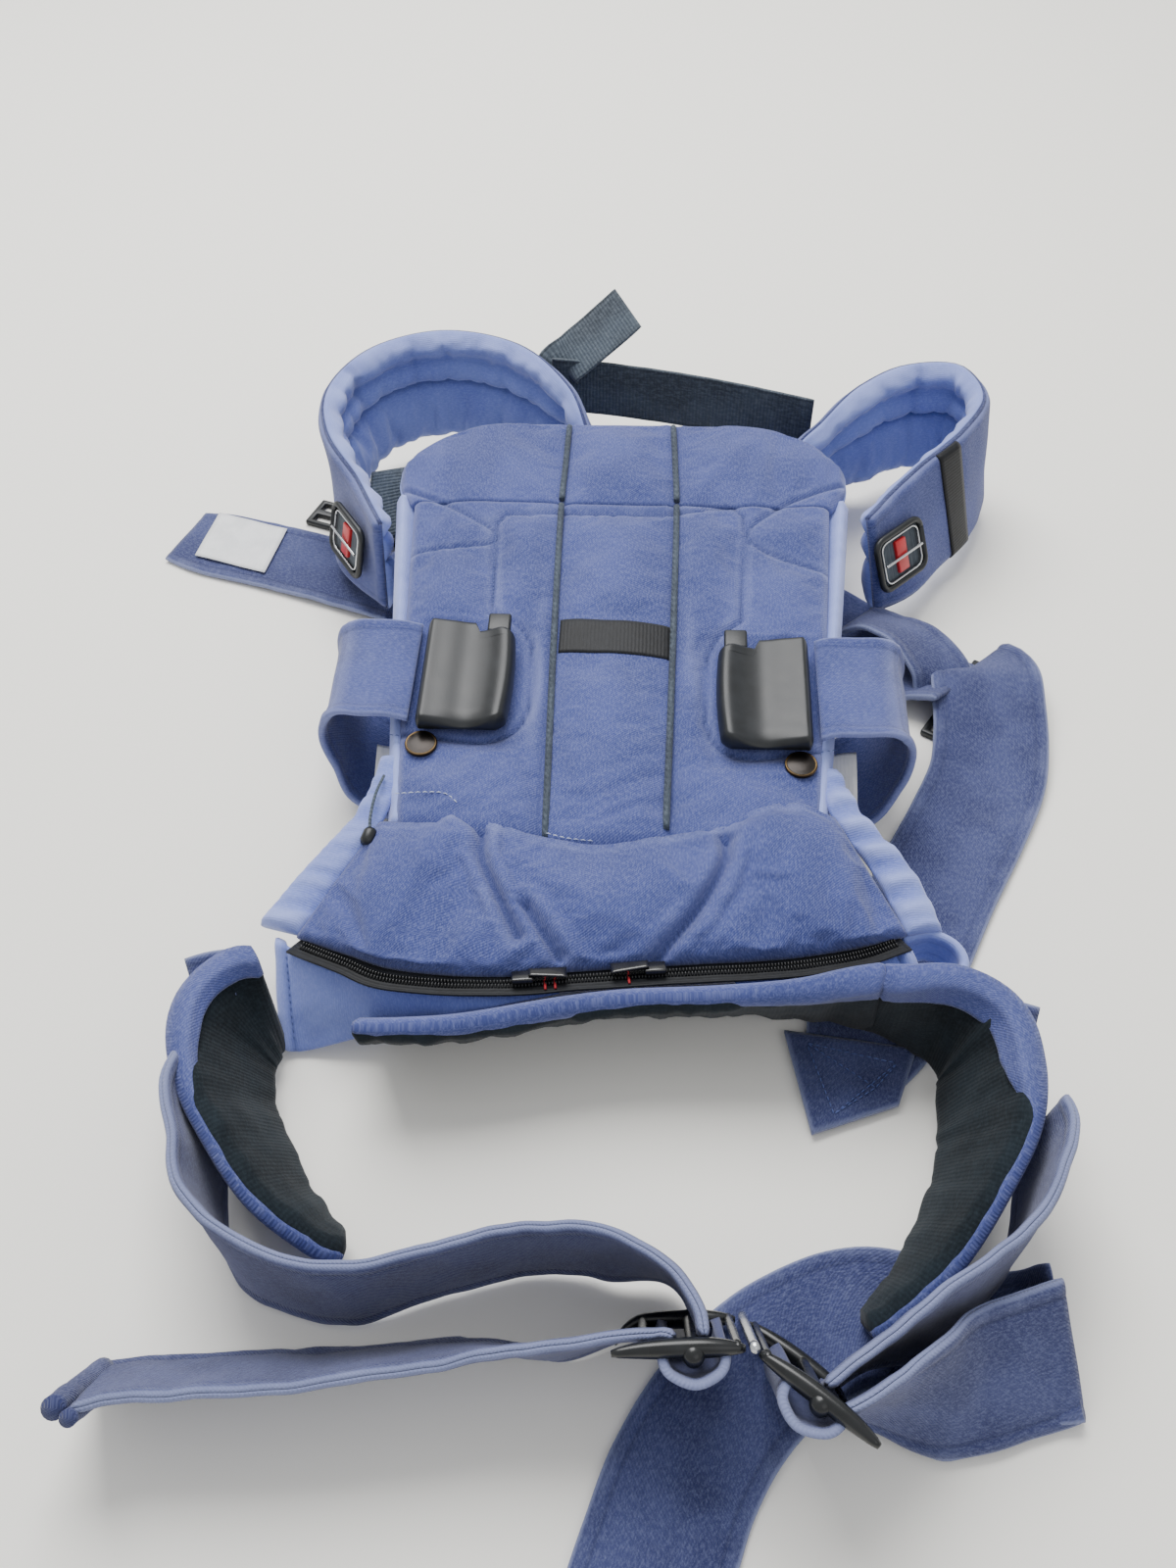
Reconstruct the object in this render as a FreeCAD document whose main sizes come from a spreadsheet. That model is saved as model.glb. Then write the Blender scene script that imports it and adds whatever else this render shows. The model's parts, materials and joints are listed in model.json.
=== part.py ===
# A soft denim front carrier, lying on its back with the front panel facing up.
# Millimetres. +Z is up, +Y runs towards the head end, +X to the right.
# The origin is the middle of the carrier's footprint, on the surface it lies on.
import FreeCAD, Part
import math
import os

import Sketcher

doc = FreeCAD.newDocument("front_carrier")
dims = doc.addObject("Spreadsheet::Sheet", "Dims")

DRIVING = {
    "origin_x": 23.7,          # from the panel's centre line to the middle of the footprint
    "origin_y": 21.3,
    "panel_height": 61.5,      # top of the front panel above the table, at the panel's zero line
    "panel_tilt": 3.34,        # degrees, the head end lies higher
    "panel_length": 181.8,     # zero line to the fold of the head support
    "denim_half_top": 118.0,   # half widths of the denim face and of the lining that shows beside it
    "denim_half_mid": 112.0,
    "denim_half_low": 104.0,
    "lining_half_top": 130.0,
    "lining_half_mid": 121.0,
    "lining_half_low": 111.0,
    "shell_thick": 8.0,        # quilted denim
    "lining_thick": 4.0,
    "seam_gap": 0.2,           # between sewn layers
    "head_length": 75.0,
    "piping_x": 31.0,
    "piping_width": 3.0,
    "piping_rise": 1.5,
    "label_width": 56.0,
    "label_length": 24.0,
    "label_thick": 0.8,
    "snap_radius": 8.2,
    "snap_rise": 3.0,
    "stud_radius": 6.0,
    "buckle_width": 46.0,
    "buckle_length": 73.0,
    "buckle_rise": 5.6,        # underside of the cover above the panel
    "cover_thick": 8.0,
    "tab_size": 12.0,
    "pin_radius": 1.5,
    "buckle_strap_width": 70.0,
    "buckle_strap_thick": 3.0,
    "webbing_thick": 2.4,
    "webbing_width": 60.0,
    "shoulder_width": 72.0,
    "strap_shell_thick": 4.6,  # padded shoulder strap: denim outside, lining inside
    "strap_lining_thick": 5.4,
    "band_width": 66.0,        # bands that carry on from the shoulder straps under the panel
    "band_thick": 4.0,
    "back_width": 38.0,
    "frame_length": 42.0,      # window frame of the height adjustment
    "frame_width": 34.0,
    "frame_thick": 4.0,
    "belt_width": 62.0,
    "belt_shell_thick": 3.4,
    "belt_pad_thick": 7.6,
    "bar_thick": 5.0,          # waist buckle plates
    "zip_width": 12.0,
    "teeth_width": 5.0,
}

row = 1
for alias, value in DRIVING.items():
    dims.set(f"A{row}", alias)
    dims.set(f"B{row}", str(value))
    dims.setAlias(f"B{row}", alias)
    row += 1
doc.recompute()


class Size:
    """A number together with the sheet expression that gives it."""

    def __init__(self, value, text):
        self.value = value
        self.text = text

    def __add__(self, other):
        other = as_size(other)
        return Size(self.value + other.value, f"({self.text} + {other.text})")

    def __sub__(self, other):
        other = as_size(other)
        return Size(self.value - other.value, f"({self.text} - {other.text})")

    def __mul__(self, other):
        other = as_size(other)
        return Size(self.value * other.value, f"{self.text} * {other.text}")

    def __truediv__(self, other):
        other = as_size(other)
        return Size(self.value / other.value, f"{self.text} / {other.text}")

    def __neg__(self):
        return Size(-self.value, f"(0 - {self.text})")

    __radd__ = __add__
    __rmul__ = __mul__


def as_size(number):
    if isinstance(number, Size):
        return number
    return Size(float(number), f"({number})" if number < 0 else f"{number}")


def size(alias):
    return Size(float(dims.get(alias)), f"Dims.{alias}")


def bind(target, path, number):
    """Set a property by its expression when it comes from the sheet."""
    number = as_size(number)
    if "Dims" in number.text:
        target.setExpression(path, number.text)
    elif path.startswith("."):
        raise ValueError(f"{path} takes a size from the sheet")
    else:
        setattr(target, path, number.value)


SUB_PARTS = []


def keep(sub_part, label):
    sub_part.Label = label
    SUB_PARTS.append(sub_part)
    return sub_part


def place(sub_part, x, y, z, rotation=None):
    """Put a sub-part at a point measured from the panel's centre line and zero line."""
    point = [as_size(x) + size("origin_x"), as_size(y) + size("origin_y"), as_size(z)]
    base = FreeCAD.Vector(*[number.value for number in point])
    sub_part.Placement = FreeCAD.Placement(base, rotation or FreeCAD.Rotation())
    for axis, number in zip("xyz", point):
        if "Dims" in number.text:
            sub_part.setExpression(f".Placement.Base.{axis}", number.text)
    return sub_part


# ---------------------------------------------------------------- sketches and plates

def add_outline(sketch, start, steps):
    """Draw a closed outline. A step is a corner, or a corner after a point that its arc passes."""
    corners = [start] + [step[-2:] for step in steps]
    numbers = [[as_size(number) for number in corner] for corner in corners]
    vectors = [FreeCAD.Vector(x.value, y.value, 0) for x, y in numbers]
    first = sketch.GeometryCount
    for index, step in enumerate(steps):
        head, tail = vectors[index], vectors[index + 1]
        if len(step) == 4:
            middle = FreeCAD.Vector(as_size(step[0]).value, as_size(step[1]).value, 0)
            curve = Part.Arc(head, middle, tail)
            sketch.addGeometry(curve, False)
        else:
            sketch.addGeometry(Part.LineSegment(head, tail), False)
    count = len(steps)
    joints = []
    for index, step in enumerate(steps):
        geometry = first + index
        head, tail = ends_of(sketch, geometry, vectors[index])
        joints.append((geometry, head, tail))
    for index, (geometry, head, tail) in enumerate(joints):
        following, next_head, _ = joints[(index + 1) % count]
        sketch.addConstraint(Sketcher.Constraint("Coincident", geometry, tail, following, next_head))
        pin_point(sketch, geometry, head, numbers[index])
        if len(steps[index]) == 4:
            passed = [as_size(number) for number in steps[index][:2]]
            spot = sketch.addGeometry(Part.Point(FreeCAD.Vector(passed[0].value, passed[1].value, 0)), True)
            pin_point(sketch, spot, 1, passed)
            sketch.addConstraint(Sketcher.Constraint("PointOnObject", spot, 1, geometry))


def ends_of(sketch, geometry, head):
    """Vertex numbers of a curve's two ends, in drawing order."""
    if (sketch.getPoint(geometry, 1) - head).Length < 1e-4:
        return 1, 2
    return 2, 1


def pin_point(sketch, geometry, vertex, corner):
    for kind, number, axis in (("DistanceX", corner[0], -2), ("DistanceY", corner[1], -1)):
        if abs(number.value) < 1e-9:
            sketch.addConstraint(Sketcher.Constraint("PointOnObject", geometry, vertex, axis))
            continue
        index = sketch.addConstraint(Sketcher.Constraint(kind, -1, 1, geometry, vertex, number.value))
        if "Dims" in number.text:
            sketch.setExpression(f"Constraints[{index}]", number.text)


def add_circle(sketch, x, y, radius):
    centre = FreeCAD.Vector(as_size(x).value, as_size(y).value, 0)
    circle = sketch.addGeometry(Part.Circle(centre, FreeCAD.Vector(0, 0, 1), as_size(radius).value), False)
    pin_point(sketch, circle, 3, [as_size(x), as_size(y)])
    index = sketch.addConstraint(Sketcher.Constraint("Radius", circle, as_size(radius).value))
    if "Dims" in as_size(radius).text:
        sketch.setExpression(f"Constraints[{index}]", as_size(radius).text)


def new_sketch(body, role="XY_Plane"):
    sketch = body.newObject("Sketcher::SketchObject", "Sketch")
    plane = [item for item in body.Origin.OriginFeatures if item.Role == role][0]
    sketch.AttachmentSupport = (plane, "")
    sketch.MapMode = "FlatFace"
    return sketch


def pad(body, sketch, length, downwards=False):
    feature = body.newObject("PartDesign::Pad", "Pad")
    feature.Profile = sketch
    feature.Reversed = downwards
    bind(feature, "Length", length)
    sketch.Visibility = False
    return feature


def plate(label, start, steps, thick, holes=(), downwards=False):
    """A flat piece: an outline in its own XY plane, with any holes, raised by its thickness."""
    body = doc.addObject("PartDesign::Body", label)
    sketch = new_sketch(body)
    add_outline(sketch, start, steps)
    for hole_start, hole_steps in holes:
        add_outline(sketch, hole_start, hole_steps)
    pad(body, sketch, thick, downwards)
    doc.recompute()
    return keep(body, label)


def rectangle(x_low, x_high, y_low, y_high):
    return (x_low, y_low), [(x_high, y_low), (x_high, y_high), (x_low, y_high), (x_low, y_low)]


def soften(body, radius, keep_edge):
    """Round the edges of a body that keep_edge picks."""
    base = body.Tip
    names = [f"Edge{index + 1}" for index, edge in enumerate(base.Shape.Edges) if keep_edge(edge)]
    feature = body.newObject("PartDesign::Fillet", "Fillet")
    feature.Base = (base, names)
    feature.Radius = radius
    doc.recompute()
    return feature


def upper_edge(edge):
    """True for an edge that lies wholly in the top face of its shape."""
    return edge.BoundBox.ZMin > 0.5 and edge.BoundBox.ZLength < 1e-3


# ---------------------------------------------------------------- cloth and webbing

def spline_point(before, start, end, after, share):
    """A point of the Catmull-Rom curve from start to end."""
    out = []
    for a, b, c, d in zip(before, start, end, after):
        out.append(0.5 * (2 * b + (c - a) * share + (2 * a - 5 * b + 4 * c - d) * share ** 2
                          + (3 * b - a - 3 * c + d) * share ** 3))
    return out


def stretch(stations, steps):
    """Fill in points between hand-set stations."""
    count = len(stations)
    points = []
    for index in range(count - 1):
        start, end = stations[index], stations[index + 1]
        before = stations[index - 1] if index else [2 * a - b for a, b in zip(start, end)]
        after = stations[index + 2] if index + 2 < count else [2 * b - a for a, b in zip(start, end)]
        for step in range(steps):
            points.append(spline_point(before, start, end, after, step / steps))
    points.append(list(stations[-1]))
    return points


def strap_frames(stations, width, steps=3):
    """Centre, direction, across and normal of a strap along its stations.

    A station is x, y, z, lean and share of the width. At lean 0 the strap stands on its edge;
    a positive lean tips its upper edge to the left of its run.
    """
    stations = [list(station) + [1.0] * (5 - len(station)) for station in stations]
    points = stretch(stations, steps)
    frames = []
    for index, point in enumerate(points):
        ahead = FreeCAD.Vector(*points[min(index + 1, len(points) - 1)][:3])
        behind = FreeCAD.Vector(*points[max(index - 1, 0)][:3])
        run = (ahead - behind).normalize()
        side = FreeCAD.Vector(-run.y, run.x, 0).normalize()
        up = run.cross(side)
        if up.z < 0:
            up = up * -1
        lean = math.radians(point[3])
        across = up * math.cos(lean) + side * math.sin(lean)
        normal = run.cross(across)
        frames.append((FreeCAD.Vector(*point[:3]), run, across, normal, width * point[4]))
    return frames


def curve_through(points):
    if len(points) == 2:
        return Part.makeLine(points[0], points[1])
    spline = Part.BSplineCurve()
    spline.interpolate(points)
    return spline.toShape()


def skin_between(rails):
    """A closed solid ruled between four neighbouring rails and across both ends."""
    edges = [curve_through(rail) for rail in rails]
    faces = [Part.makeRuledSurface(edge, edges[(index + 1) % 4]) for index, edge in enumerate(edges)]
    for end in (0, -1):
        corners = [rail[end] for rail in rails]
        faces.append(Part.makeRuledSurface(Part.makeLine(corners[0], corners[1]),
                                           Part.makeLine(corners[3], corners[2])))
    shell = Part.makeShell(faces)
    shell.sewShape()
    solid = Part.makeSolid(shell)
    solid.fix(1e-4, 1e-4, 1e-3)
    if solid.Volume < 0:
        solid.reverse()
    return solid


def ribbon_rails(frames, thick, rise=0.0):
    """The four long edges of a flat strip, its middle set off along the normal by rise."""
    rails = [[], [], [], []]
    for centre, _, across, normal, width in frames:
        middle = centre + normal * rise
        half = across * (width / 2)
        step = normal * (thick / 2)
        rails[0].append(middle + half + step)
        rails[1].append(middle + half - step)
        rails[2].append(middle - half - step)
        rails[3].append(middle - half + step)
    return rails


def ribbon_shape(frames, thick, rise=0.0):
    return skin_between(ribbon_rails(frames, thick, rise))


def folded_shape(front, back, width, thick):
    """A strap folded back on itself, as its two plies; they part by a hair's breadth at the crease."""
    return Part.makeCompound([ribbon_shape(strap_frames(ply, width), thick) for ply in (front, back)])


def sub_shape(label, shape):
    """A sub-part whose shape is made by Part functions, in the panel's coordinates."""
    feature = doc.addObject("Part::Feature", label)
    feature.Shape = shape
    place(feature, 0, 0, 0)
    return keep(feature, label)


def ribbon(label, stations, width, thick):
    return sub_shape(label, ribbon_shape(strap_frames(stations, width), thick))


def cloth_shape(near, far, thick, through=(0, 0, -1)):
    """A quilted piece ruled between two edges, its thickness going through from them."""
    step = FreeCAD.Vector(*through) * thick
    near = [FreeCAD.Vector(*point) for point in near]
    far = [FreeCAD.Vector(*point) for point in far]
    return skin_between([near, far, [point + step for point in far], [point + step for point in near]])


# ---------------------------------------------------------------- positions on the front panel

TILT = FreeCAD.Rotation(FreeCAD.Vector(1, 0, 0), float(dims.get("panel_tilt")))
tilt_radians = math.radians(float(dims.get("panel_tilt")))
SINE = Size(math.sin(tilt_radians), "sin(Dims.panel_tilt * 1 deg)")
COSINE = Size(math.cos(tilt_radians), "cos(Dims.panel_tilt * 1 deg)")


def panel_point(x, y, up=0.0):
    """A point given by its place on the tilted panel and its height above the denim."""
    y, up = as_size(y), as_size(up)
    return as_size(x), COSINE * y - SINE * up, size("panel_height") + SINE * y + COSINE * up


def on_panel(sub_part, x, y, up=0.0, turn=0.0):
    rotation = TILT.multiply(FreeCAD.Rotation(FreeCAD.Vector(0, 0, 1), turn))
    return place(sub_part, *panel_point(x, y, up), rotation)


shell = size("shell_thick")
lining = size("lining_thick")
gap = size("seam_gap")
SIDES = (("left", -1), ("right", 1))


# ---------------------------------------------------------------- front panel and head support

def make_chest():
    length = size("panel_length")
    for label, top, mid, low, thick, depth in (
            ("chest_panel", "denim_half_top", "denim_half_mid", "denim_half_low", shell, as_size(0)),
            ("chest_lining", "lining_half_top", "lining_half_mid", "lining_half_low", lining, shell + gap)):
        top, mid, low = size(top), size(mid), size(low)
        steps = [(0, -60, low, -18), (mid, 90), (top, length), (-top, length), (-mid, 90), (-low, -18)]
        body = plate(label, (-low, -18), steps, thick, downwards=True)
        on_panel(body, 0, 0, -depth)


def make_head_support():
    fold = size("panel_length") + 0.4
    length = size("head_length")
    for label, half, thick, depth in (
            ("head_support", size("denim_half_top") + 6, shell, as_size(0)),
            ("head_support_lining", size("lining_half_top") - 20, lining, shell + gap)):
        steps = [(half, 0), (half + 2, 48), (0, length, -half - 2, 48), (-half, 0)]
        body = plate(label, (-half, 0), steps, thick, downwards=True)
        on_panel(body, 0, fold, -depth)


def make_piping():
    """Flat black cords sewn lengthwise, one pair on the chest and one on the head support."""
    half = size("piping_width") / 2
    rise = size("piping_rise")
    runs = (("chest_piping", -56, size("panel_length") - 7), ("head_piping", size("panel_length") + 7.4, 243))
    for label, low, high in runs:
        body = doc.addObject("PartDesign::Body", label)
        sketch = new_sketch(body)
        for side in (-1, 1):
            middle = size("piping_x") * side
            add_outline(sketch, *rectangle(middle - half, middle + half, low, high))
        pad(body, sketch, rise)
        doc.recompute()
        keep(body, label)
        on_panel(body, 0, 0, gap)


def make_front_label():
    half = size("label_width") / 2
    body = plate("front_label", *rectangle(-half, half, 0, size("label_length")), size("label_thick"))
    on_panel(body, 0, 62, gap)


def make_snaps():
    """Press studs: a domed cap above the denim and a socket under it, two of each."""
    spots = ((-95, 0), (95, -8))
    for label, radius, rise, up in (("snap_caps", size("snap_radius"), size("snap_rise"), gap),
                                    ("snap_studs", size("stud_radius"), size("lining_thick") / 2,
                                     -shell - lining - gap * 2 - 2)):
        body = doc.addObject("PartDesign::Body", label)
        sketch = new_sketch(body)
        for x, y in spots:
            add_circle(sketch, x, y, radius)
        pad(body, sketch, rise)
        doc.recompute()
        if label == "snap_caps":
            soften(body, 1.2, upper_edge)
        keep(body, label)
        on_panel(body, 0, 0, up)


# ---------------------------------------------------------------- seat

SEAT_TOP = [(-104, -25, 60.1), (-80, -42, 59.1), (-42, -62, 57.9), (-6, -68, 57.5), (34, -64, 57.8),
            (72, -47, 58.8), (104, -25, 60.1)]
SEAT_LOW = [(-134, -101, 42), (-93, -124, 46), (-49, -128, 48), (-6, -123, 48.5), (40, -118, 48.5),
            (83, -113, 48), (129, -94, 44)]
ZIP_LINE = [(-143, -110, 38), (-118, -123, 42), (-95, -133, 44), (-49, -136, 46), (-6, -131.5, 46.5),
            (40, -126.5, 46.5), (83, -121.5, 45.5), (115, -113, 43), (139, -101, 40)]


def make_seat():
    """Padded seat with a gathered strip of lining down each side."""
    sub_shape("seat_panel", cloth_shape(SEAT_TOP, SEAT_LOW, 12))
    strips = {
        "left": ([(-107.5, -21, 58), (-122.5, -62, 49), (-139, -103, 38)],
                 [(-116, -10, 54), (-136, -66, 42), (-160, -96, 31)]),
        "right": ([(107, -21, 58), (124, -60, 50), (134, -97, 41)],
                  [(114, -9, 55), (139, -64, 47), (153, -95, 37)]),
    }
    for side, (inner, outer) in strips.items():
        sub_shape(f"side_gusset_{side}", cloth_shape(inner, outer, 4))


def make_leg_gussets():
    """Lining flaps that drop from the zip at each leg opening."""
    left_top = [(-141, -117, 34), (-126, -127, 37), (-113, -135, 39)]
    left_low = [(-145, -140, 6), (-133, -141, 6), (-117, -141, 13)]
    right_top = [(151, -103, 35), (120, -118, 37), (94, -126, 38)]
    right_low = [(156, -108, 25), (122, -117, 30), (95, -124, 33)]
    sub_shape("leg_gusset_left", cloth_shape(left_top, left_low, 3, (0, 0.77, -0.64)))
    sub_shape("leg_gusset_right", cloth_shape(right_top, right_low, 3, (0, 0.77, -0.64)))


def make_zip():
    """The seat zip: tape, coil and two sliders that part from the middle."""
    stations = [(x, y, z, -74) for x, y, z in ZIP_LINE]
    tape = strap_frames(stations, float(dims.get("zip_width")))
    sub_shape("seat_zip_tape", ribbon_shape(tape, 1.0))
    teeth = [frame[:4] + (float(dims.get("teeth_width")),) for frame in tape[1:-1]]
    sub_shape("zip_teeth", ribbon_shape(teeth, 1.4, rise=-1.25))
    for side, turn in SIDES:
        frame = tape[len(tape) // 2 + turn * 2]
        body = plate(f"zip_slider_{side}", *rectangle(-5, 5, -3.5, 3.5), 3)
        point, rotation = face_placement(frame, 2.6, -1)
        place(body, point.x, point.y, point.z, rotation)


# ---------------------------------------------------------------- side buckles

def make_side_buckle(side, turn):
    """A base sewn to the panel, a saddle-shaped cover hinged at its outer edge, and a release tab."""
    x, y = (-75, 39.5) if turn < 0 else (77.5, 30.5)
    half_w, half_l = size("buckle_width") / 2, size("buckle_length") / 2
    slot = size("tab_size") / 2 + 0.8
    slot_x = half_w - slot - 2
    inner, outer = -turn, turn

    base = plate(f"buckle_base_{side}", *rectangle(-half_w + 4, half_w - 4, -half_l + 11, half_l - 9), 3)
    on_panel(base, x, y, gap)

    steps = [(outer * (half_w - 3), -half_l), (outer * half_w, -half_l + 3),
             (outer * half_w, half_l - 3), (outer * (half_w - 3), half_l),
             (inner * (slot_x - slot), half_l), (inner * (slot_x - slot), half_l - 12),
             (inner * (slot_x + slot), half_l - 12), (inner * half_w, half_l - 12),
             (inner * (half_w + 1), 0, inner * (half_w - 6), -half_l)]
    cover = plate(f"buckle_cover_{side}", (inner * (half_w - 6), -half_l), steps, size("cover_thick"))
    soften(cover, 2.5, upper_edge)
    on_panel(cover, x, y, size("buckle_rise"))

    tab_half = size("tab_size") / 2
    low = half_l - 7
    tab = plate(f"release_tab_{side}",
                *rectangle(inner * slot_x - tab_half, inner * slot_x + tab_half, low, half_l + 6), 5)
    on_panel(tab, x, y, size("buckle_rise") + 0.5)

    pin = doc.addObject("Part::Cylinder", f"hinge_pin_{side}")
    bind(pin, "Radius", size("pin_radius"))
    bind(pin, "Height", size("buckle_length") - 20)
    lie = FreeCAD.Rotation(FreeCAD.Vector(1, 0, 0), -90 + float(dims.get("panel_tilt")))
    up = size("buckle_rise") - size("pin_radius") - 0.3
    px, py, pz = panel_point(x + outer * (half_w.value - 1.8), y - half_l.value + 10, up)
    return place(pin, px, py, pz, lie)


def make_buckle_strap(side, turn):
    """Denim loop from the buckle's outer edge round the panel's side and back under it."""
    y_top = 41 if turn < 0 else 33
    reach = 149 if turn < 0 else 152
    lean = -90 * turn
    start = 102 if turn < 0 else 105
    stations = [(turn * start, y_top + 2, 71, lean), (turn * 125, y_top + 3, 70, lean),
                (turn * (reach - 8), y_top + 8, 64, lean), (turn * reach, y_top + 12, 46, lean),
                (turn * (reach - 4), y_top + 6, 28, lean), (turn * 136, y_top - 2, 12, lean),
                (turn * 116, y_top - 10, 7, lean), (turn * 96, y_top - 14, 6, lean)]
    points = stretch([list(station) for station in stations], 3)
    across = FreeCAD.Vector(0, 1, 0)
    frames = []
    for index, point in enumerate(points):
        ahead = FreeCAD.Vector(*points[min(index + 1, len(points) - 1)][:3])
        behind = FreeCAD.Vector(*points[max(index - 1, 0)][:3])
        run = (ahead - behind).normalize()
        normal = run.cross(across).normalize()
        frames.append((FreeCAD.Vector(*point[:3]), run, across, normal, float(dims.get("buckle_strap_width"))))
    sub_shape(f"buckle_strap_{side}", ribbon_shape(frames, float(dims.get("buckle_strap_thick"))))


# ---------------------------------------------------------------- shoulder straps and bands

SHOULDER_LEFT = [(-136, 157, 45, -3, 0.84), (-162, 196, 45, -15, 0.88), (-175, 238, 49, 4, 0.95),
                 (-177, 276, 51, 6), (-158, 313, 54, 2), (-118, 332, 55, 0), (-74, 323, 53, 0),
                 (-38, 303, 46, -16), (-12, 282, 34, -42)]
BAND_LEFT = [(-6, 276, 29, -50), (10, 259, 16, -72), (30, 240, 9, -84), (80, 190, 6.5, -90),
             (128, 150, 6, -90), (164, 120, 6, -88, 0.95)]
SHOULDER_RIGHT = [(144, 166, 44, 14, 0.84), (163, 185, 44, 22, 0.9), (181, 208, 46, 18, 0.95),
                  (205, 238, 48, 12), (219, 274, 50, 6), (205, 304, 52, 2), (172, 300, 54, 0),
                  (146, 284, 52, 2), (120, 270, 45, 22), (94, 263, 36, 54), (76, 254, 34.5, 72)]
BAND_RIGHT = [(69, 246, 34.5, 76), (42, 230, 34.5, 88), (0, 208, 34, 90), (-50, 197, 28, 90),
              (-96, 204, 19, 90), (-132, 224, 12, 88, 0.95)]


def make_shoulder_strap(side, stations, inward):
    """Padded strap: a denim shell outside and a quilted lining on the wearer's side."""
    shell_thick, pad_thick = float(dims.get("strap_shell_thick")), float(dims.get("strap_lining_thick"))
    seam = float(dims.get("seam_gap"))
    frames = strap_frames(stations, float(dims.get("shoulder_width")))
    sub_shape(f"shoulder_{side}_shell", ribbon_shape(frames, shell_thick, -inward * (shell_thick + seam) / 2))
    sub_shape(f"shoulder_{side}_lining", ribbon_shape(frames, pad_thick, inward * (pad_thick + seam) / 2))


def face_placement(frame, rise, outward):
    """Lay a flat piece on a strap: its X along the strap, its Z out of the strap's face."""
    centre, run, across, normal, _ = frame
    z_axis = normal * outward
    x_axis = run
    y_axis = z_axis.cross(x_axis)
    rotation = FreeCAD.Rotation(x_axis, y_axis, z_axis, "ZXY")
    return centre + z_axis * rise, rotation


def make_height_adjuster(side, stations, outward):
    """Window frame on the strap's outer face, with a steel rail and a red slider in the window."""
    length, width = size("frame_length"), size("frame_width")
    frame = strap_frames(stations, float(dims.get("shoulder_width")))[2]
    lift = float(dims.get("strap_shell_thick")) + 1.7
    hole = rectangle(-length / 2 + 5, length / 2 - 5, -width / 2 + 5, width / 2 - 5)
    pieces = (
        (plate(f"height_frame_{side}", *rectangle(-length / 2, length / 2, -width / 2, width / 2),
               size("frame_thick"), [hole]), 0.0),
        (plate(f"height_slider_{side}", *rectangle(-4.5, 4.5, -10, 10), 3.4), 0.3),
    )
    for body, rise in pieces:
        point, rotation = face_placement(frame, lift + rise, outward)
        place(body, point.x, point.y, point.z, rotation)
    rail = doc.addObject("Part::Cylinder", f"rail_{side}")
    rail.Radius = 0.8
    bind(rail, "Height", length - 10)
    run = frame[1]
    point, _ = face_placement(frame, lift + 4.8, outward)
    start = point - run * ((length.value - 10) / 2)
    return place(rail, start.x, start.y, start.z, FreeCAD.Rotation(FreeCAD.Vector(0, 0, 1), run))


def make_shoulder_label():
    frame = strap_frames(SHOULDER_RIGHT, float(dims.get("shoulder_width")))[7]
    body = plate("shoulder_label", *rectangle(-10, 10, -31, 31), 0.8)
    point, rotation = face_placement(frame, float(dims.get("strap_shell_thick")) + 1.0, 1)
    place(body, point.x, point.y, point.z, rotation)


def make_ladder_lock(side, x, y, z, turn):
    """A webbing adjuster: a frame with two slots and a middle bar."""
    holes = [rectangle(-31, 31, 2.5, 8.5), rectangle(-31, 31, -8.5, -2.5)]
    body = plate(f"ladder_lock_{side}", *rectangle(-35, 35, -12, 12), 4, holes)
    place(body, x, y, z, FreeCAD.Rotation(FreeCAD.Vector(0, 0, 1), turn))


TAIL_LEFT = [(-122, 178, 5, 90), (-150, 190, 4.2, 90), (-180, 202, 3.4, 90), (-220, 216, 2.8, 90),
             (-255, 227, 2.2, 90), (-279, 235, 2, 90, 0.86)]
TAIL_RIGHT = [(207, 102, 16, -90), (207, 84, 14, -90), (206, 62, 9, -90), (201, 36, 4.5, -90),
              (186, 2, 3, -90), (166, -38, 2.4, -90), (147, -80, 2.2, -90), (128, -122, 2.2, -90),
              (106, -160, 2.2, -90, 0.8)]
BACK_STRAP = [(-48, 320, 62, 0), (-10, 316, 61, 0), (40, 306, 60, 0), (85, 293, 59, 0), (115, 283, 58, 0)]
BACK_TAIL = [(-26, 326, 89, 70, 0.9), (-19, 329, 95, 70, 0.9), (-10, 332, 102, 70, 0.9),
             (0, 335, 109, 70, 0.9)]


def make_tails():
    wide = float(dims.get("webbing_width"))
    thick = float(dims.get("webbing_thick"))
    back = float(dims.get("back_width"))
    ribbon("tail_left", TAIL_LEFT, wide - 2, thick)
    ribbon("tail_right", TAIL_RIGHT, wide + 2, thick)
    ribbon("back_strap", BACK_STRAP, back, thick)
    ribbon("back_strap_tail", BACK_TAIL, back, thick)


# ---------------------------------------------------------------- waist belt

BELT_CENTRE = [(-106, -149, 31, -36), (-84, -149, 31, -34), (-60, -146, 31, -34), (-22, -137, 31, -34),
               (10, -132, 32, -34), (50, -130, 33, -33), (85, -129, 34, -28), (108, -128, 35, -20),
               (127, -129, 36, -12)]
BELT_LEFT = [(-150, -135, 32, -10), (-161, -143, 32, -26), (-168, -160, 32, -34),
             (-163, -184, 31, -34, 0.96), (-150, -207, 28, -34, 0.86), (-132, -231, 23, -35, 0.7),
             (-112, -246, 16, -36, 0.46), (-104, -249, 12, -36, 0.3)]
BELT_RIGHT = [(133, -130, 35, -10), (156, -137, 34, 8), (170, -152, 33, 24),
              (171, -172, 32, 33), (168, -196, 31, 33, 0.95), (157, -221, 28, 32, 0.82),
              (140, -249, 22, 33, 0.62), (121, -269, 15, 30, 0.42), (113, -275, 12, 30, 0.3)]
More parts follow.
